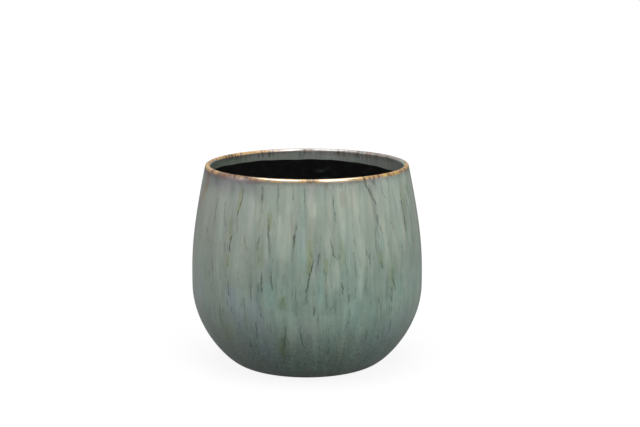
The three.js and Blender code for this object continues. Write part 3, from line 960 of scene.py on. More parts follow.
class GlazeSheet:
    """The pot's wall unrolled for drawing: where the shaded point lies, in degrees and millimetres."""

    def __init__(self, bench: FinishBench) -> None:
        """Works out the drop and the bearing of the shaded point, straight and with a small wander.

        Args:
            bench: The bench of the glaze.
        """
        self.bench = bench
        flat = bench.vector_maths("MULTIPLY", bench.place, (1.0, 1.0, 0.0))
        facing = bench.vector_maths("NORMALIZE", flat)
        self.drop = bench.node("ShaderNodeAttribute", attribute_name=DROP).outputs["Fac"]
        parts = bench.feed(bench.node("ShaderNodeSeparateXYZ"), {"Vector": facing}).outputs
        turn = bench.maths("ARCTAN2", parts["X"], bench.maths("MULTIPLY", parts["Y"], -1.0))
        self.bearing = bench.maths("MULTIPLY", turn, math.degrees(1.0))
        down = bench.feed(bench.node("ShaderNodeCombineXYZ"), {"Z": self.drop})
        ring = bench.vector_maths("MULTIPLY", facing, (WRAP_RADIUS_MM, WRAP_RADIUS_MM, 0.0))
        self.spot = bench.vector_maths("ADD", ring, down.outputs[0])
        self.along = bench.maths("DIVIDE", self.drop, FULL_DROP_MM)
        self.round = bench.plus(bench.maths("DIVIDE", self.bearing, FULL_TURN_DEG), MIDDLE)
        wander = bench.plus(self.bearing, self.pattern(SWAY), self.pattern(KINK))
        self.swayed = self.aside(wander)
        self.straight = self.aside(self.bearing)

    def pattern(self, pattern: Pattern) -> Socket:
        """Reads a pattern at the shaded point.

        Args:
            pattern: The pattern to read.

        Returns:
            How strongly it shows.
        """
        bench = self.bench
        scale = (1 / pattern.across_mm, 1 / pattern.across_mm, 1 / pattern.along_mm)
        sized = bench.vector_maths("MULTIPLY", self.spot, scale)
        shifted = bench.vector_maths("ADD", sized, (pattern.shift, pattern.shift, pattern.shift))
        return bench.fade(bench.noise(shifted, pattern.detail), pattern.fade)

    def fall(self, fade: Fade) -> Socket:
        """Reads a fade whose levels are drops below the lip in millimetres."""
        return self.bench.fade(self.drop, fade)

    def round_the_pot(self, points: tuple[Point, ...]) -> Socket:
        """A strength drawn against the bearing."""
        line = [(turn / FULL_TURN_DEG + MIDDLE, level) for turn, level in points]
        return self.bench.curve(self.round, line)

    def aside(self, bearing: Socket) -> Socket:
        """A bearing as a share of the half turn over which runs are drawn."""
        return self.bench.plus(self.bench.maths("DIVIDE", bearing, HALF_TURN_DEG), MIDDLE)

    def runs(self, runs: tuple[Run, ...], aside: Socket, core: float = 0.0) -> Socket:
        """Draws runs given for the front half of the pot, and the same again on the back half.

        Each track waits for the one before it, through the factor of its curves. That factor is always 1,
        and the renderer then holds the values of one track at a time, because it has room for only a few.

        Args:
            runs: The runs to draw.
            aside: Share of the half turn to draw them against.
            core: Share of a run's width that shows at full strength.

        Returns:
            How strongly a run shows at the shaded point.
        """
        bench = self.bench
        total: object = 0.0
        for track in self.tracks(runs):
            place: list[Point] = []
            strength: list[Point] = []
            for run in track:
                place += [(d / FULL_DROP_MM, b / HALF_TURN_DEG + MIDDLE) for b, d, _ in run.path]
                strength.append(((run.start_mm - RUN_FADE_MM) / FULL_DROP_MM, 0.0))
                strength += [(d / FULL_DROP_MM, s) for _, d, s in run.path]
                strength.append(((run.end_mm + RUN_FADE_MM) / FULL_DROP_MM, 0.0))
            whole = bench.maths("GREATER_THAN", total, BELOW_ALL)
            middle = bench.curve(self.along, place, whole)
            off = bench.maths("WRAP", bench.maths("SUBTRACT", aside, middle), MIDDLE, -MIDDLE)
            half = math.degrees(track[0].width_mm / WRAP_RADIUS_MM) / HALF_TURN_DEG
            line = bench.fade(bench.maths("ABSOLUTE", off), Fade(half, half * core))
            shown = bench.times(line, bench.curve(self.along, strength, whole))
            total = bench.most(total, shown)
        return total

    @staticmethod
    def tracks(runs: tuple[Run, ...]) -> list[list[Run]]:
        """Groups runs of one width that lie one below the other, so that one curve draws each group.

        Args:
            runs: The runs to group.

        Returns:
            The groups, each from top to bottom.
        """
        groups: list[list[Run]] = []
        for run in sorted(runs, key=lambda each: each.start_mm):
            for group in groups:
                gap_mm = run.start_mm - group[-1].end_mm
                if group[0].width_mm == run.width_mm and gap_mm > RUN_GAP_MM:
                    group.append(run)
                    break
            else:
                groups.append([run])
        return groups


@dataclass(frozen=True)
class SageGround:
    """The grey-green ground of the glaze, in columns and streaks down the wall."""

    stops: Stops = (
        (0.08, DEEP_SAGE),
        (0.36, srgb(130, 143, 132)),
        (0.62, srgb(147, 158, 146)),
        (0.95, srgb(170, 179, 166)),
    )
    columns: Pattern = Pattern(11.0, 80.0, 3.0)
    column_share: float = 0.30
    streaks: Pattern = Pattern(3.2, 26.0, 11.0, 1.5)
    streak_share: Fade = Fade(112.0, 158.0, 0.20, 0.06)
    fine: Pattern = Pattern(1.2, 11.0, 23.0)
    fine_share: Fade = Fade(112.0, 158.0, 0.10, 0.02)
    combed: Pattern = Pattern(13.0, 34.0, 59.0, 1.0, Fade(0.42, 0.6, 0.25, 1.0))
    patches: Pattern = Pattern(6.0, 10.0, 53.0)
    patch_share: Fade = Fade(40.0, 110.0, 0.04, 0.12)
    mottle: Pattern = Pattern(2.2, 2.4, 57.0)
    mottle_share: Fade = Fade(115.0, 170.0, 0.0, 0.42)
    level: Fade = Fade(30.0, 140.0, 0.27, 0.22)
    pale_and_glint_core: float = 0.2
    pale_and_glint_share: float = 0.22
    shade_share: float = -0.26

    def lay(self, sheet: GlazeSheet) -> tuple[Socket, Socket]:
        """Lays the ground.

        Args:
            sheet: The unrolled wall.

        Returns:
            The colour and the streaks in it.
        """
        bench = sheet.bench
        streaks = sheet.pattern(self.streaks)
        fine = bench.times(sheet.pattern(self.fine), sheet.pattern(self.combed))
        tone = bench.plus(
            bench.times(sheet.pattern(self.columns), self.column_share),
            bench.times(streaks, sheet.fall(self.streak_share)),
            bench.times(fine, sheet.fall(self.fine_share)),
            bench.times(sheet.pattern(self.patches), sheet.fall(self.patch_share)),
            bench.times(sheet.pattern(self.mottle), sheet.fall(self.mottle_share)),
            sheet.fall(self.level),
            # The pale columns lighten the tone; two of them are painted highlights.
            bench.times(sheet.runs(PALE_COLUMNS_AND_GLINTS, sheet.straight, self.pale_and_glint_core), self.pale_and_glint_share),
            bench.times(sheet.runs(SOFT_SHADES, sheet.straight), self.shade_share),
        )
        return bench.ramp(tone, self.stops), streaks


@dataclass(frozen=True)
class GlazeTints:
    """Turns of the ground's hue: beige and mint columns, teal below, dark at the base and a dusk by the
    lip, both partly painted shade, and painted shade close under the lip.
    """

    mint: Colour = (0.95, 1.0, 1.005, 1.0)
    beige: Colour = (1.06, 1.0, 0.985, 1.0)
    hues: Pattern = Pattern(9.0, 60.0, 31.0, 1.0)
    teal: Colour = (0.855, 1.0, 1.0, 1.0)
    teal_share: Fade = Fade(35.0, 135.0)
    greige: Colour = srgb(146, 147, 142)
    greige_bearing: float = -80.0
    greige_share: Fade = Fade(85.0, 20.0, 0.0, 0.4)
    aqua: Colour = (0.86, 1.0, 1.03, 1.0)
    lavender: Colour = (1.0, 0.95, 1.10, 1.0)
    # Darker and bluer towards the base: partly the glaze's own darker foot, partly painted shade.
    base_warm: Colour = (0.66, 0.65, 0.63, 1.0)
    base_cool: Colour = (0.61, 0.67, 0.71, 1.0)
    blots: Pattern = Pattern(9.0, 14.0, 71.0)
    base_share: Fade = Fade(132.0, 178.0)
    # A dark mauve-grey haze by the lip: partly the glaze's purple-grey band, partly painted shade.
    dusk: Colour = srgb(99, 99, 103)
    dusk_share: Fade = Fade(24.0, 4.0, 0.0, 0.75)
    rose: Colour = (1.05, 0.72, 0.66, 1.0)

    def lay(self, sheet: GlazeSheet, colour: Socket) -> Socket:
        """Lays the tints on the ground.

        Args:
            sheet: The unrolled wall.
            colour: Colour so far.

        Returns:
            The tinted colour.
        """
        bench = sheet.bench
        hue = sheet.pattern(self.hues)
        colour = bench.tint(1.0, colour, bench.mix(hue, self.mint, self.beige))
        colour = bench.tint(sheet.fall(self.teal_share), colour, self.teal)
        off = bench.maths("ABSOLUTE", bench.maths("SUBTRACT", sheet.bearing, self.greige_bearing))
        colour = bench.mix(bench.fade(off, self.greige_share), colour, self.greige)
        colour = bench.tint(sheet.runs(TEAL_PATCHES, sheet.swayed), colour, self.aqua)
        colour = bench.tint(sheet.runs(LAVENDER_PATCHES, sheet.swayed), colour, self.lavender)
        # Darker towards the base: partly the glaze's foot, partly painted shade.
        blots = bench.mix(sheet.pattern(self.blots), self.base_warm, self.base_cool)
        colour = bench.tint(sheet.fall(self.base_share), colour, blots)
        # Mauve-grey haze by the lip, partly the glaze's band and partly painted shade.
        haze = bench.times(sheet.round_the_pot(LIP_MAUVE), sheet.fall(self.dusk_share))
        colour = bench.mix(haze, colour, self.dusk)
        colour = bench.tint(sheet.runs(ROSE_RUNS, sheet.swayed), colour, self.rose)
        # Painted shade close under the lip.
        return bench.tint(sheet.runs(LIP_SHADES, sheet.swayed), colour, LIP_SHADE)


@dataclass(frozen=True)
class GlazeMarks:
    """The marks on the wall: olive runs, dark veins, loose dashes, ticks by the lip and specks below."""

    olive: Colour = (0.80, 0.81, 0.55, 1.0)
    olive_break: Fade = Fade(0.4, 1.0, 0.7, 1.0)
    vein: Colour = (0.24, 0.26, 0.25, 1.0)
    vein_core: float = 0.2
    broken: Pattern = Pattern(1.5, 5.0, 19.0, fade=Fade(0.34, 0.58, 0.4, 1.0))
    dashes: Pattern = Pattern(1.3, 12.0, 5.0, fade=Fade(0.62, 0.74))
    dash_start: Fade = Fade(10.0, 90.0, 0.2, 0.6)
    dash_end: Fade = Fade(175.0, 130.0, 0.5, 1.0)
    ticks: Pattern = Pattern(1.7, 5.0, 97.0, fade=Fade(0.57, 0.68))
    tick_share: Fade = Fade(11.0, 4.0, 0.0, 0.6)
    specks: Pattern = Pattern(1.8, 2.6, 73.0, 1.0, Fade(0.58, 0.7))
    speck_share: Fade = Fade(140.0, 182.0, 0.0, 0.5)

    def lay(self, sheet: GlazeSheet, colour: Socket) -> Socket:
        """Draws the marks.

        Args:
            sheet: The unrolled wall.
            colour: Colour so far.

        Returns:
            The marked colour.
        """
        bench = sheet.bench
        broken = sheet.pattern(self.broken)
        olive = bench.times(sheet.runs(OLIVE_RUNS, sheet.swayed), bench.fade(broken, self.olive_break))
        colour = bench.tint(olive, colour, self.olive)
        where = bench.times(sheet.fall(self.dash_start), sheet.fall(self.dash_end))
        dashes = bench.times(sheet.pattern(self.dashes), where)
        ticks = bench.times(sheet.pattern(self.ticks), sheet.fall(self.tick_share))
        specks = bench.times(sheet.pattern(self.specks), sheet.fall(self.speck_share))
        loose = bench.most(dashes, ticks, specks)
        veins = bench.times(sheet.runs(DARK_VEINS, sheet.swayed, self.vein_core), broken)
        return bench.tint(bench.most(veins, loose), colour, self.vein)


@dataclass(frozen=True)
class NeckBand:
    """The glaze inside the neck, with drips, dark close under the lip, and painted shade that darkens it
    towards the back-left.
    """

    # Lit and shaded copies of the neck's glaze, mixed by the painted shading round the pot.
    light: Colour = srgb(156, 160, 155)
    dark: Colour = srgb(108, 118, 104)
    lavender: Colour = srgb(132, 133, 137)
    drip: Colour = srgb(60, 73, 67)
    inside: Fade = Fade(-1.5, -3.0)
    cool: Pattern = Pattern(16.0, 30.0, 37.0, fade=Fade(0.45, 0.6, 0.0, 0.3))
    streak_share: Fade = Fade(0.35, 0.8, 0.0, 0.22)
    drip_fall: Fade = Fade(-9.0, -5.0, 0.2, 1.0)
    drip_share: float = 0.75

    def lay(self, sheet: GlazeSheet, colour: Socket, streaks: Socket) -> Socket:
        """Lays the neck's glaze.

        Args:
            sheet: The unrolled wall.
            colour: Colour so far.
            streaks: The ground's streaks.

        Returns:
            The colour with the neck in it.
        """
        bench = sheet.bench
        inside = sheet.fall(self.inside)
        # Painted shade: the neck goes from the lit to the shaded colour round the pot.
        ground = bench.mix(sheet.round_the_pot(NECK_SHADING), self.dark, self.light)
        ground = bench.mix(sheet.pattern(self.cool), ground, self.lavender)
        ground = bench.mix(bench.fade(streaks, self.streak_share), ground, DEEP_SAGE)
        crowd = sheet.round_the_pot(LIP_FLECKS)
        drips = bench.times(sheet.pattern(FLECKS), sheet.fall(self.drip_fall), crowd, self.drip_share)
        return bench.mix(inside, colour, bench.mix(drips, ground, self.drip))


@dataclass(frozen=True)
class LipBand:
    """The honey glaze over the lip, thin and flecked, with a mauve edge where it thins, and painted shade
    just under and inside it.
    """

    stops: Stops = (
        (0.0, srgb(130, 129, 125)),
        (0.4, srgb(122, 94, 70)),
        (0.7, srgb(174, 136, 88)),
        (1.0, srgb(172, 142, 80)),
    )
    mauve: Colour = srgb(112, 92, 92)
    umber: Colour = srgb(122, 88, 60)
    fleck: Colour = srgb(62, 44, 30)
    ragged: Pattern = Pattern(3.0, 6.0, 83.0, 3.0, Fade(0.25, 0.75, -0.9, 0.9, Step.EVEN))
    inward: Fade = Fade(0.0, 1.0, -0.8, -5.0, Step.EVEN)
    thinning_mm: float = 0.6
    under_shade_edge: Fade = Fade(8.0, 3.2)
    mauve_edge: Fade = Fade(6.5, 3.0)
    shine_edge: Fade = Fade(3.7, 2.7)
    band_edge: Fade = Fade(3.4, 2.5)
    uneven: Pattern = Pattern(4.0, 20.0, 89.0, 3.0, Fade(0.3, 0.7, -0.28, 0.12, Step.EVEN))
    broad: Pattern = Pattern(6.0, 40.0, 39.0, 1.0, Fade(0.46, 0.6))
    broad_share: float = 0.6

    def lay(self, sheet: GlazeSheet, colour: Socket) -> tuple[Socket, Socket]:
        """Lays the lip's glaze.

        Args:
            sheet: The unrolled wall.
            colour: Colour so far.

        Returns:
            The colour with the lip's glaze, and how strongly the lip shines.
        """
        bench = sheet.bench
        ragged = sheet.pattern(self.ragged)
        thin = sheet.round_the_pot(LIP_THIN)
        away = bench.most(sheet.drop, bench.times(sheet.drop, bench.fade(thin, self.inward)))
        edge = bench.plus(away, ragged, bench.times(thin, self.thinning_mm))
        # Painted shade just under the lip and inside it.
        under_shade = bench.times(sheet.round_the_pot(LIP_UNDER_SHADE), bench.fade(edge, self.under_shade_edge))
        colour = bench.tint(under_shade, colour, LIP_SHADE)
        outer = bench.times(sheet.round_the_pot(LIP_MAUVE), bench.fade(edge, self.mauve_edge))
        colour = bench.mix(outer, colour, self.mauve)
        band = bench.fade(edge, self.band_edge)
        hue = bench.plus(sheet.round_the_pot(LIP_GOLD), sheet.pattern(self.uneven))
        brown = bench.ramp(hue, self.stops)
        crowd = sheet.round_the_pot(LIP_FLECKS)
        broad = bench.times(sheet.pattern(self.broad), crowd, self.broad_share)
        brown = bench.mix(broad, brown, self.umber)
        brown = bench.mix(bench.times(sheet.pattern(FLECKS), crowd), brown, self.fleck)
        shine = bench.times(sheet.round_the_pot(LIP_GLOSS), bench.fade(edge, self.shine_edge))
        return bench.mix(band, colour, brown), shine


@dataclass(frozen=True)
class DripGlaze:
    """Grey-green drip glaze with pale columns, dark veins and olive streaks, honey-gold over the lip."""

    ground: SageGround = SageGround()
    tints: GlazeTints = GlazeTints()
    marks: GlazeMarks = GlazeMarks()
    neck: NeckBand = NeckBand()
    lip: LipBand = LipBand()
    roughness: float = 0.28
    lip_roughness: float = 0.12
    lip_index: float = 2.4
    relief_mm: float = 0.05

    def build(self) -> bpy.types.Material:
        """Makes the glaze's material.

        Returns:
            The material.
        """
        bench = FinishBench("drip_glaze")
        sheet = GlazeSheet(bench)
        colour, streaks = self.ground.lay(sheet)
        colour = self.tints.lay(sheet, colour)
        colour = self.marks.lay(sheet, colour)
        colour = self.neck.lay(sheet, colour, streaks)
        colour, shine = self.lip.lay(sheet, colour)
        return bench.principled({
            "Base Color": colour,
            "Roughness": self.roughness,
            "Coat Weight": shine,
            "Coat Roughness": self.lip_roughness,
            "Coat IOR": self.lip_index,
            "Normal": bench.bump(streaks, self.relief_mm),
        })


@dataclass(frozen=True)
class FiredClay:
    """Dry buff stoneware with fine dark specks."""

    buff: Colour = srgb(196, 172, 140)
    ochre: Colour = srgb(170, 138, 102)
    speck: Colour = srgb(92, 74, 58)
    clouds_per_metre: Triple = (60.0, 60.0, 60.0)
    cloud_detail: float = 3.0
    cloud_share: Fade = Fade(0.4, 0.65)
    specks_per_metre: Triple = (700.0, 700.0, 700.0)
    speck_detail: float = 1.0
    speck_share: Fade = Fade(0.66, 0.74, 0.0, 0.8)
    grit_per_metre: Triple = (1800.0, 1800.0, 1800.0)
    grit_detail: float = 2.0
    grit_mm: float = 0.2
    grit_strength: float = 0.5
    roughness: float = 0.88

    def build(self) -> bpy.types.Material:
        """Makes the clay's material.

        Returns:
            The material.
        """
        bench = FinishBench("fired_clay")
        clouds = bench.fade(bench.speckle(self.clouds_per_metre, self.cloud_detail), self.cloud_share)
        specks = bench.fade(bench.speckle(self.specks_per_metre, self.speck_detail), self.speck_share)
        grit = bench.speckle(self.grit_per_metre, self.grit_detail)
        colour = bench.mix(clouds, self.buff, self.ochre)
        return bench.principled({
            "Base Color": bench.mix(specks, colour, self.speck),
            "Roughness": self.roughness,
            "Normal": bench.bump(grit, self.grit_mm, self.grit_strength),
        })


@dataclass(frozen=True)
class BlackCoat:
    """Satin black waterproof coat with the marks of the brush round the pot, and a little dust."""

    black: Colour = srgb(14, 15, 14)
    worn: Colour = srgb(26, 27, 26)
    dust: Colour = srgb(56, 58, 60)
    smears_per_metre: Triple = (120.0, 22.0, 260.0)
    smear_detail: float = 3.0
    worn_share: Fade = Fade(0.52, 0.72)
    satin: Fade = Fade(0.35, 0.65, 0.38, 0.46)
    gloss: float = 0.3
    bristles_per_metre: Triple = (260.0, 30.0, 900.0)
    bristle_detail: float = 3.0
    bristle_mm: float = 0.2
    bristle_strength: float = 0.3
    dust_per_metre: Triple = (60.0, 60.0, 160.0)
    dust_detail: float = 2.0
    dust_share: Fade = Fade(0.42, 0.68)
    dust_place: Triple = (0.016, 0.094, 0.174)
    dust_reach: Fade = Fade(0.015, 0.002)

    def build(self) -> bpy.types.Material:
        """Makes the coat's material.

        Returns:
            The material.
        """
        bench = FinishBench("black_coat")
        bristles = bench.speckle(self.bristles_per_metre, self.bristle_detail)
        smear = bench.speckle(self.smears_per_metre, self.smear_detail)
        colour = bench.mix(bench.fade(smear, self.worn_share), self.black, self.worn)
        patches = bench.fade(bench.speckle(self.dust_per_metre, self.dust_detail), self.dust_share)
        off = bench.vector_maths("DISTANCE", bench.place, self.dust_place, gives="Value")
        dusty = bench.times(patches, bench.fade(off, self.dust_reach))
        return bench.principled({
            "Base Color": bench.mix(dusty, colour, self.dust),
            "Roughness": bench.fade(smear, self.satin),
            "Specular IOR Level": self.gloss,
            "Normal": bench.bump(bristles, self.bristle_mm, self.bristle_strength),
        })


@dataclass
class TurnedPiece:
    """A piece turned about the pot's axis from a closed outline."""

    outline: PotOutline
    steps: int = 240
    weld: float = 0.002 * MM
    smooth_angle: float = math.radians(40)

    def turn(
        self, name: str, points: list[Point], drops_mm: list[float] | None = None
    ) -> bpy.types.Object:
        """Draws an outline and spins it round the axis.

        Args:
            name: The piece's name.
            points: Its outline as radius and height, in order, closed by its last edge.
            drops_mm: Drop below the lip for each point, kept on the mesh where it is given.

        Returns:
            The turned piece, shaded smooth.
        """
        piece = self.trace(name, points)
        if drops_mm is not None:
            lane = piece.data.attributes.new(DROP, "FLOAT", "POINT")
            lane.data.foreach_set("value", drops_mm)
        bpy.ops.object.mode_set(mode="EDIT")
        bpy.ops.mesh.select_all(action="SELECT")
        bpy.ops.mesh.spin(steps=self.steps, angle=math.tau, center=ORIGIN, axis=(0, 0, 1))
        bpy.ops.mesh.select_all(action="SELECT")
        bpy.ops.mesh.remove_doubles(threshold=self.weld)
        bpy.ops.mesh.normals_make_consistent(inside=False)
        bpy.ops.object.mode_set(mode="OBJECT")
        bpy.ops.object.shade_smooth_by_angle(angle=self.smooth_angle)
        return piece

    def trace(self, name: str, points: list[Point]) -> bpy.types.Object:
        """Draws an outline point by point from a plane merged to its middle.

        Args:
            name: The piece's name.
            points: The outline as radius and height, in order.

        Returns:
            The outline as an object of edges.
        """
        bpy.ops.object.select_all(action="DESELECT")
        bpy.ops.mesh.primitive_plane_add(size=MM, location=ORIGIN)
        piece = bpy.context.object
        piece.name = name
        piece.data.name = name
        bpy.ops.object.mode_set(mode="EDIT")
        bpy.ops.mesh.select_all(action="SELECT")
        bpy.ops.mesh.merge(type="CENTER")
        last = (0.0, 0.0)
        for index, (radius, height) in enumerate(points):
            shift = (radius - last[0], 0.0, height - last[1])
            if index == 0:
                bpy.ops.transform.translate(value=shift)
            else:
                bpy.ops.mesh.extrude_region_move(TRANSFORM_OT_translate={"value": shift})
            last = (radius, height)
        self.close(points)
        bpy.ops.object.mode_set(mode="OBJECT")
        return piece

    def close(self, points: list[Point]) -> None:
        """Joins the outline's two ends by an edge where they aren't both on the axis.

        Args:
            points: The outline as radius and height, in order.
        """
        if points[0][0] == 0 and points[-1][0] == 0:
            return
        bpy.ops.mesh.select_all(action="DESELECT")
        bpy.ops.object.mode_set(mode="OBJECT")
        mesh = bpy.context.object.data
        mesh.vertices[0].select = True
        mesh.vertices[len(points) - 1].select = True
        bpy.ops.object.mode_set(mode="EDIT")
        bpy.ops.mesh.edge_face_add()

    def dress(self, piece: bpy.types.Object, finish: bpy.types.Material, slot: str, *nodes: str) -> None:
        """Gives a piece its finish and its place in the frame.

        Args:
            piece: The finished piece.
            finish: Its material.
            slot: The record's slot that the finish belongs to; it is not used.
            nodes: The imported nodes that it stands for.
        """
        piece.data.materials.clear()
        piece.data.materials.append(finish)
        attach(piece, BODY)
        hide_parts(*nodes)


@dataclass
class GlazeSkin(TurnedPiece):
    """The glaze: outside wall, lip and the band inside the neck, as one unbroken skin."""

    neck_depth: float = 24 * MM
    wall_steps: int = 72
    lip_steps: int = 20
    neck_steps: int = 8
    back_steps: int = 30

    def build(self) -> bpy.types.Object:
        """Models the skin and dresses it.

        Returns:
            The glaze skin.
        """
        line = self.outline
        neck_face = line.inside_depth + line.glaze
        neck_end = line.station_at(line.height - self.neck_depth, neck_face)
        outside = line.wall_line(HEEL_STATION, RIM_STATION, self.wall_steps, 0)
        over = line.lip_line(line.lip_radius, self.lip_steps)
        inside = line.wall_line(RIM_STATION, neck_end, self.neck_steps, neck_face)
        back_inside_depth = line.inside_depth + line.hairline
        back_inside = line.wall_line(neck_end, RIM_STATION, self.neck_steps, back_inside_depth)
        back_over = line.lip_line(line.clay / 2 + line.hairline, self.lip_steps)[::-1]
        back_depth = line.glaze - line.hairline
        back_outside = line.wall_line(RIM_STATION, HEEL_STATION, self.back_steps, back_depth)
        face = outside + over + inside
        back = back_inside + back_over + back_outside
        crest = len(outside) + len(over) // 2
        drops = [(line.height - z) / MM * (1 if i <= crest else -1) for i, (_, z) in enumerate(face)]
        drops += [0.0] * len(back)
        piece = self.turn("glaze_skin", face + back, drops)
        self.dress(piece, DripGlaze().build(), "green_glaze", "outer_glaze", "rim_glaze", "neck_glaze")
        return piece


@dataclass
class ClayBody(TurnedPiece):
    """The fired clay, with its foot ring and the dry underside."""

    wall_steps: int = 40
    lip_steps: int = 10
    rounding_steps: int = 5

    def build(self) -> bpy.types.Object:
        """Models the clay body and dresses it.

        Returns:
            The clay body.
        """
        line = self.outline
        floor = line.coat_bottom - line.hairline
        ring_inside = line.foot_radius - line.foot_width
        floor_station = line.station_at(floor, line.inside_depth)
        underside = line.wall(HEEL_STATION, line.glaze)[1]
        points = [(0.0, line.foot_recess), (ring_inside - line.foot_rounding, line.foot_recess)]
        points += self.rounding(ring_inside + line.foot_rounding, math.pi)
        points += self.rounding(line.foot_radius - line.foot_rounding, -math.pi / 2)
        points += [(line.foot_radius, underside)]
        points += line.wall_line(HEEL_STATION, RIM_STATION, self.wall_steps, line.glaze)
        points += line.lip_line(line.clay / 2, self.lip_steps)
        points += line.wall_line(RIM_STATION, floor_station, self.wall_steps, line.inside_depth)
        points += [(0.0, floor)]
        piece = self.turn("clay_body", points)
        self.dress(piece, FiredClay().build(), "fired_clay", "stoneware_body")
        return piece

    def rounding(self, radius: float, start: float) -> list[Point]:
        """A quarter round at the foot ring's lower edge.

        Args:
            radius: Radius of the rounding's middle.
            start: Angle at which it starts.

        Returns:
            Its points as radius and height.
        """
        size = self.outline.foot_rounding
        turn = math.pi / 2 / self.rounding_steps
        angles = [start + turn * step for step in range(self.rounding_steps + 1)]
        return [(radius + size * math.cos(angle), size + size * math.sin(angle)) for angle in angles]


@dataclass
class WaterproofCoat(TurnedPiece):
    """The black coat inside, whose upper edge wanders a little as a brush leaves it."""

    line_drop: float = 11.5 * MM
    proud: float = 0.25 * MM
    tilt: float = 1.0 * MM
    sag: float = 2.8 * MM
    sag_bearing: float = math.radians(58)
    sag_spread: float = math.radians(20)
    tremble: float = 0.25 * MM
    broad_waves: int = 9
    small_waves: int = 23
    small_share: float = 0.6
    small_start: float = 1.0
    edge_reach: float = 10 * MM
    wall_steps: int = 60

    def build(self) -> bpy.types.Object:
        """Models the coat and dresses it.

        Returns:
            The coat.
        """
        line = self.outline
        face_depth = line.inside_depth + line.glaze + self.proud
        back_depth = line.inside_depth + line.glaze / 2
        top = line.station_at(line.height - self.line_drop, face_depth)
        floor_back, floor_face = line.coat_bottom, line.coat_bottom + line.coat
        back_end = line.station_at(floor_back, back_depth)
        face_end = line.station_at(floor_face, face_depth)
        points = [(0.0, floor_back)]
        points += line.wall_line(back_end, top, self.wall_steps, back_depth)
        points += line.wall_line(top, face_end, self.wall_steps, face_depth)
        points += [(0.0, floor_face)]
        piece = self.turn("waterproof_lining", points)
        self.wander(piece)
        self.dress(piece, BlackCoat().build(), "black_coat", "waterproof_coat")
        return piece

    def rise(self, bearing: float) -> float:
        """How far the upper edge lies above its level line at a bearing.

        Args:
            bearing: Bearing from the back, in radians.

        Returns:
            The height, which is less than 0 below the line.
        """
        off = (bearing - self.sag_bearing) / self.sag_spread
        small = self.small_share * math.sin(self.small_waves * bearing + self.small_start)
        level = -self.tilt * math.sin(bearing) - self.sag * math.exp(-off * off)
        return level + self.tremble * (math.sin(self.broad_waves * bearing) + small)

    def wander(self, piece: bpy.types.Object) -> None:
        """Moves the coat's upper edge up and down along the wall.

        Args:
            piece: The turned coat.
        """
        line = self.outline
        edge = line.height - self.line_drop
        for vertex in piece.data.vertices:
            share = 1 - (edge - vertex.co.z) / self.edge_reach
            if share <= 0:
                continue
            shift = self.rise(math.atan2(vertex.co.x, vertex.co.y)) * share
            lean = -math.tan(line.rim_lean) * shift
            radius = math.hypot(vertex.co.x, vertex.co.y)
            vertex.co.x *= (radius + lean) / radius
            vertex.co.y *= (radius + lean) / radius
            vertex.co.z += shift


@dataclass(frozen=True)
class Softbox:
    """A studio lamp with a flat soft face, aimed at the pot."""

    name: str
    place: Triple
    size: tuple[float, float]
    level: float

    def build(self, aim: Vector) -> None:
        """Hangs the lamp and turns it to a point.

        Args:
            aim: The point that the lamp faces.
        """
        bpy.ops.object.select_all(action="DESELECT")
        bpy.ops.object.light_add(type="AREA", location=self.place)
        lamp = bpy.context.object
        lamp.name = self.name
        lamp.rotation_euler = (aim - Vector(self.place)).to_track_quat("-Z", "Y").to_euler()
        lamp.data.shape = "RECTANGLE"
        lamp.data.size, lamp.data.size_y = self.size
        lamp.data.energy = self.level * math.pi * self.size[0] * self.size[1]


@dataclass(frozen=True)
class PhotoCamera:
    """A camera that stands where the photograph was taken."""

    distance: float = 1.35
    elevation: float = math.radians(13.1)
    lens_mm: float = 75.624
    sensor_mm: float = 36.0
    frame_px: tuple[int, int] = (640, 427)
    aim_px: tuple[float, float] = (307.18, 261.38)

    def build(self, aim: Vector) -> None:
        """Places the camera so that a point lands on its pixel.

        Args:
            aim: The point that lands on aim_px.
        """
        away = Vector((0, -math.cos(self.elevation), math.sin(self.elevation)))
        bpy.ops.object.select_all(action="DESELECT")
        bpy.ops.object.camera_add(location=aim + away * self.distance)
        camera = bpy.context.object
        camera.name = "photo_camera"
        camera.data.lens = self.lens_mm
        camera.data.sensor_width = self.sensor_mm
        focal = self.lens_mm / self.sensor_mm * self.frame_px[0]
        right = self.aim_px[0] - self.frame_px[0] / 2
        below = self.aim_px[1] - self.frame_px[1] / 2
        ray = math.sqrt(right * right + below * below + focal * focal)
        pitch = math.atan2(below, focal)
        pitch -= math.asin(ray * math.sin(self.elevation) / math.hypot(focal, below))
        heading = math.atan2(right, focal * math.cos(pitch) + below * math.sin(pitch))
        camera.rotation_euler = (math.pi / 2 + pitch, 0, heading)
        bpy.context.scene.camera = camera


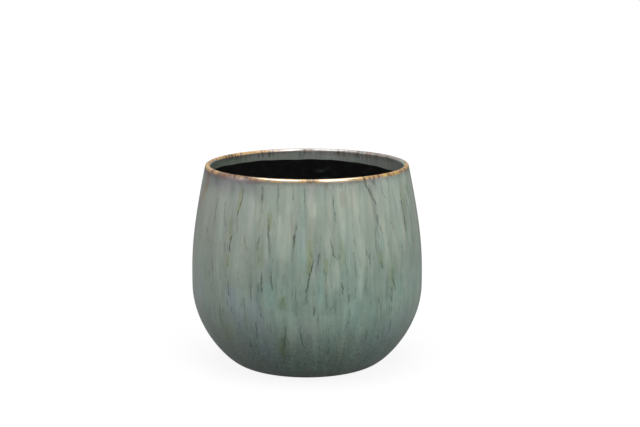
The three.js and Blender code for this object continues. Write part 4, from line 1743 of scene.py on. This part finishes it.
@dataclass(frozen=True)
class Studio:
    """White floor and surroundings, soft lamps and the camera.

    The floor's glow goes by the distance from the pot in metres, its white by whether it is seen, and the
    sky's light by whether a reflection shows it.
    """

    floor_size: float = 60.0
    floor_glow: Fade = Fade(0.3, 1.2, 0.9, 1.0)
    floor_white: Fade = Fade(0.0, 1.0, 0.25, 0.08, Step.EVEN)
    floor_gleam: float = 0.15
    sky_white: Colour = (1.0, 1.0, 1.0, 1.0)
    sky_light: Fade = Fade(0.0, 1.0, 0.06, 0.38, Step.EVEN)
    lamps: tuple[Softbox, ...] = (
        Softbox("overhead_softbox", (0.0, -0.2, 1.25), (1.3, 1.6), 4.6),
        Softbox("front_right_softbox", (0.9, -1.3, 1.2), (0.9, 0.9), 3.8),
        Softbox("right_softbox", (1.5, -0.2, 0.8), (0.9, 0.9), 1.8),
        Softbox("left_softbox", (-1.5, -0.2, 0.8), (0.9, 0.9), 2.7),
    )

    def build(self, outline: PotOutline) -> None:
        """Sets the stage, the lamps and the camera.

        Args:
            outline: The pot's outline.
        """
        aim = Vector((0, 0, outline.height / 2))
        self.lay_floor()
        self.light_world()
        for lamp in self.lamps:
            lamp.build(aim)
        PhotoCamera().build(aim)
        bpy.context.scene.view_settings.view_transform = "Standard"

    @staticmethod
    def rays(bench: NodeBench) -> tuple[Socket, Socket]:
        """Whether a ray sees the stage straight, and whether it sees it in a reflection."""
        path = bench.node("ShaderNodeLightPath").outputs
        return bench.most(path["Is Camera Ray"], path["Is Transmission Ray"]), path["Is Glossy Ray"]

    def lay_floor(self) -> None:
        """Lays the floor, which is white to look at, keeps the shadow and throws little light back."""
        bpy.ops.object.select_all(action="DESELECT")
        bpy.ops.mesh.primitive_plane_add(size=self.floor_size, location=ORIGIN)
        floor = bpy.context.object
        floor.name = "studio_floor"
        bench = FinishBench("floor_white")
        seen, mirrored = self.rays(bench)
        reach = bench.vector_maths("LENGTH", bench.place, gives="Value")
        glow = bench.times(seen, bench.fade(reach, self.floor_glow))
        gleam = bench.times(mirrored, self.floor_gleam)
        white = bench.fade(bench.most(seen, mirrored), self.floor_white)
        paper = bench.feed(bench.node("ShaderNodeBsdfDiffuse"), {"Color": white})
        light = bench.feed(bench.node("ShaderNodeEmission"), {"Strength": bench.plus(glow, gleam)})
        both = bench.node("ShaderNodeAddShader")
        for socket, shader in zip(both.inputs, (paper, light)):
            bench.plug(socket, shader.outputs[0])
        floor.data.materials.append(bench.surface(both))
        floor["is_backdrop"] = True

    def light_world(self) -> None:
        """Makes the surroundings white to look at, grey in reflections and a faint light on the pot."""
        world = bpy.data.worlds.new("studio_white")
        bpy.context.scene.world = world
        world.use_nodes = True
        bench = NodeBench(world.node_tree)
        seen, mirrored = self.rays(bench)
        level = bench.most(bench.fade(mirrored, self.sky_light), seen)
        bench.feed(world.node_tree.nodes["Background"], {"Strength": level, "Color": self.sky_white})


def write_sizes() -> None:
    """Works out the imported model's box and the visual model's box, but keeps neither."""
    boxes = {"cad": CAD_BOX, "visual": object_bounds()}
    boxes = {name: [list(corner) for corner in box] for name, box in boxes.items()}


def main() -> None:
    """Builds the pot and its studio."""
    logging.basicConfig(level=logging.INFO, format="%(message)s")
    outline = PotOutline.from_frame()
    Studio().build(outline)
    for part in (ClayBody(outline), GlazeSkin(outline), WaterproofCoat(outline)):
        piece = part.build()
        log.info("%s has %d faces", piece.name, len(piece.data.polygons))
    write_sizes()


if __name__ == "__main__":
    main()
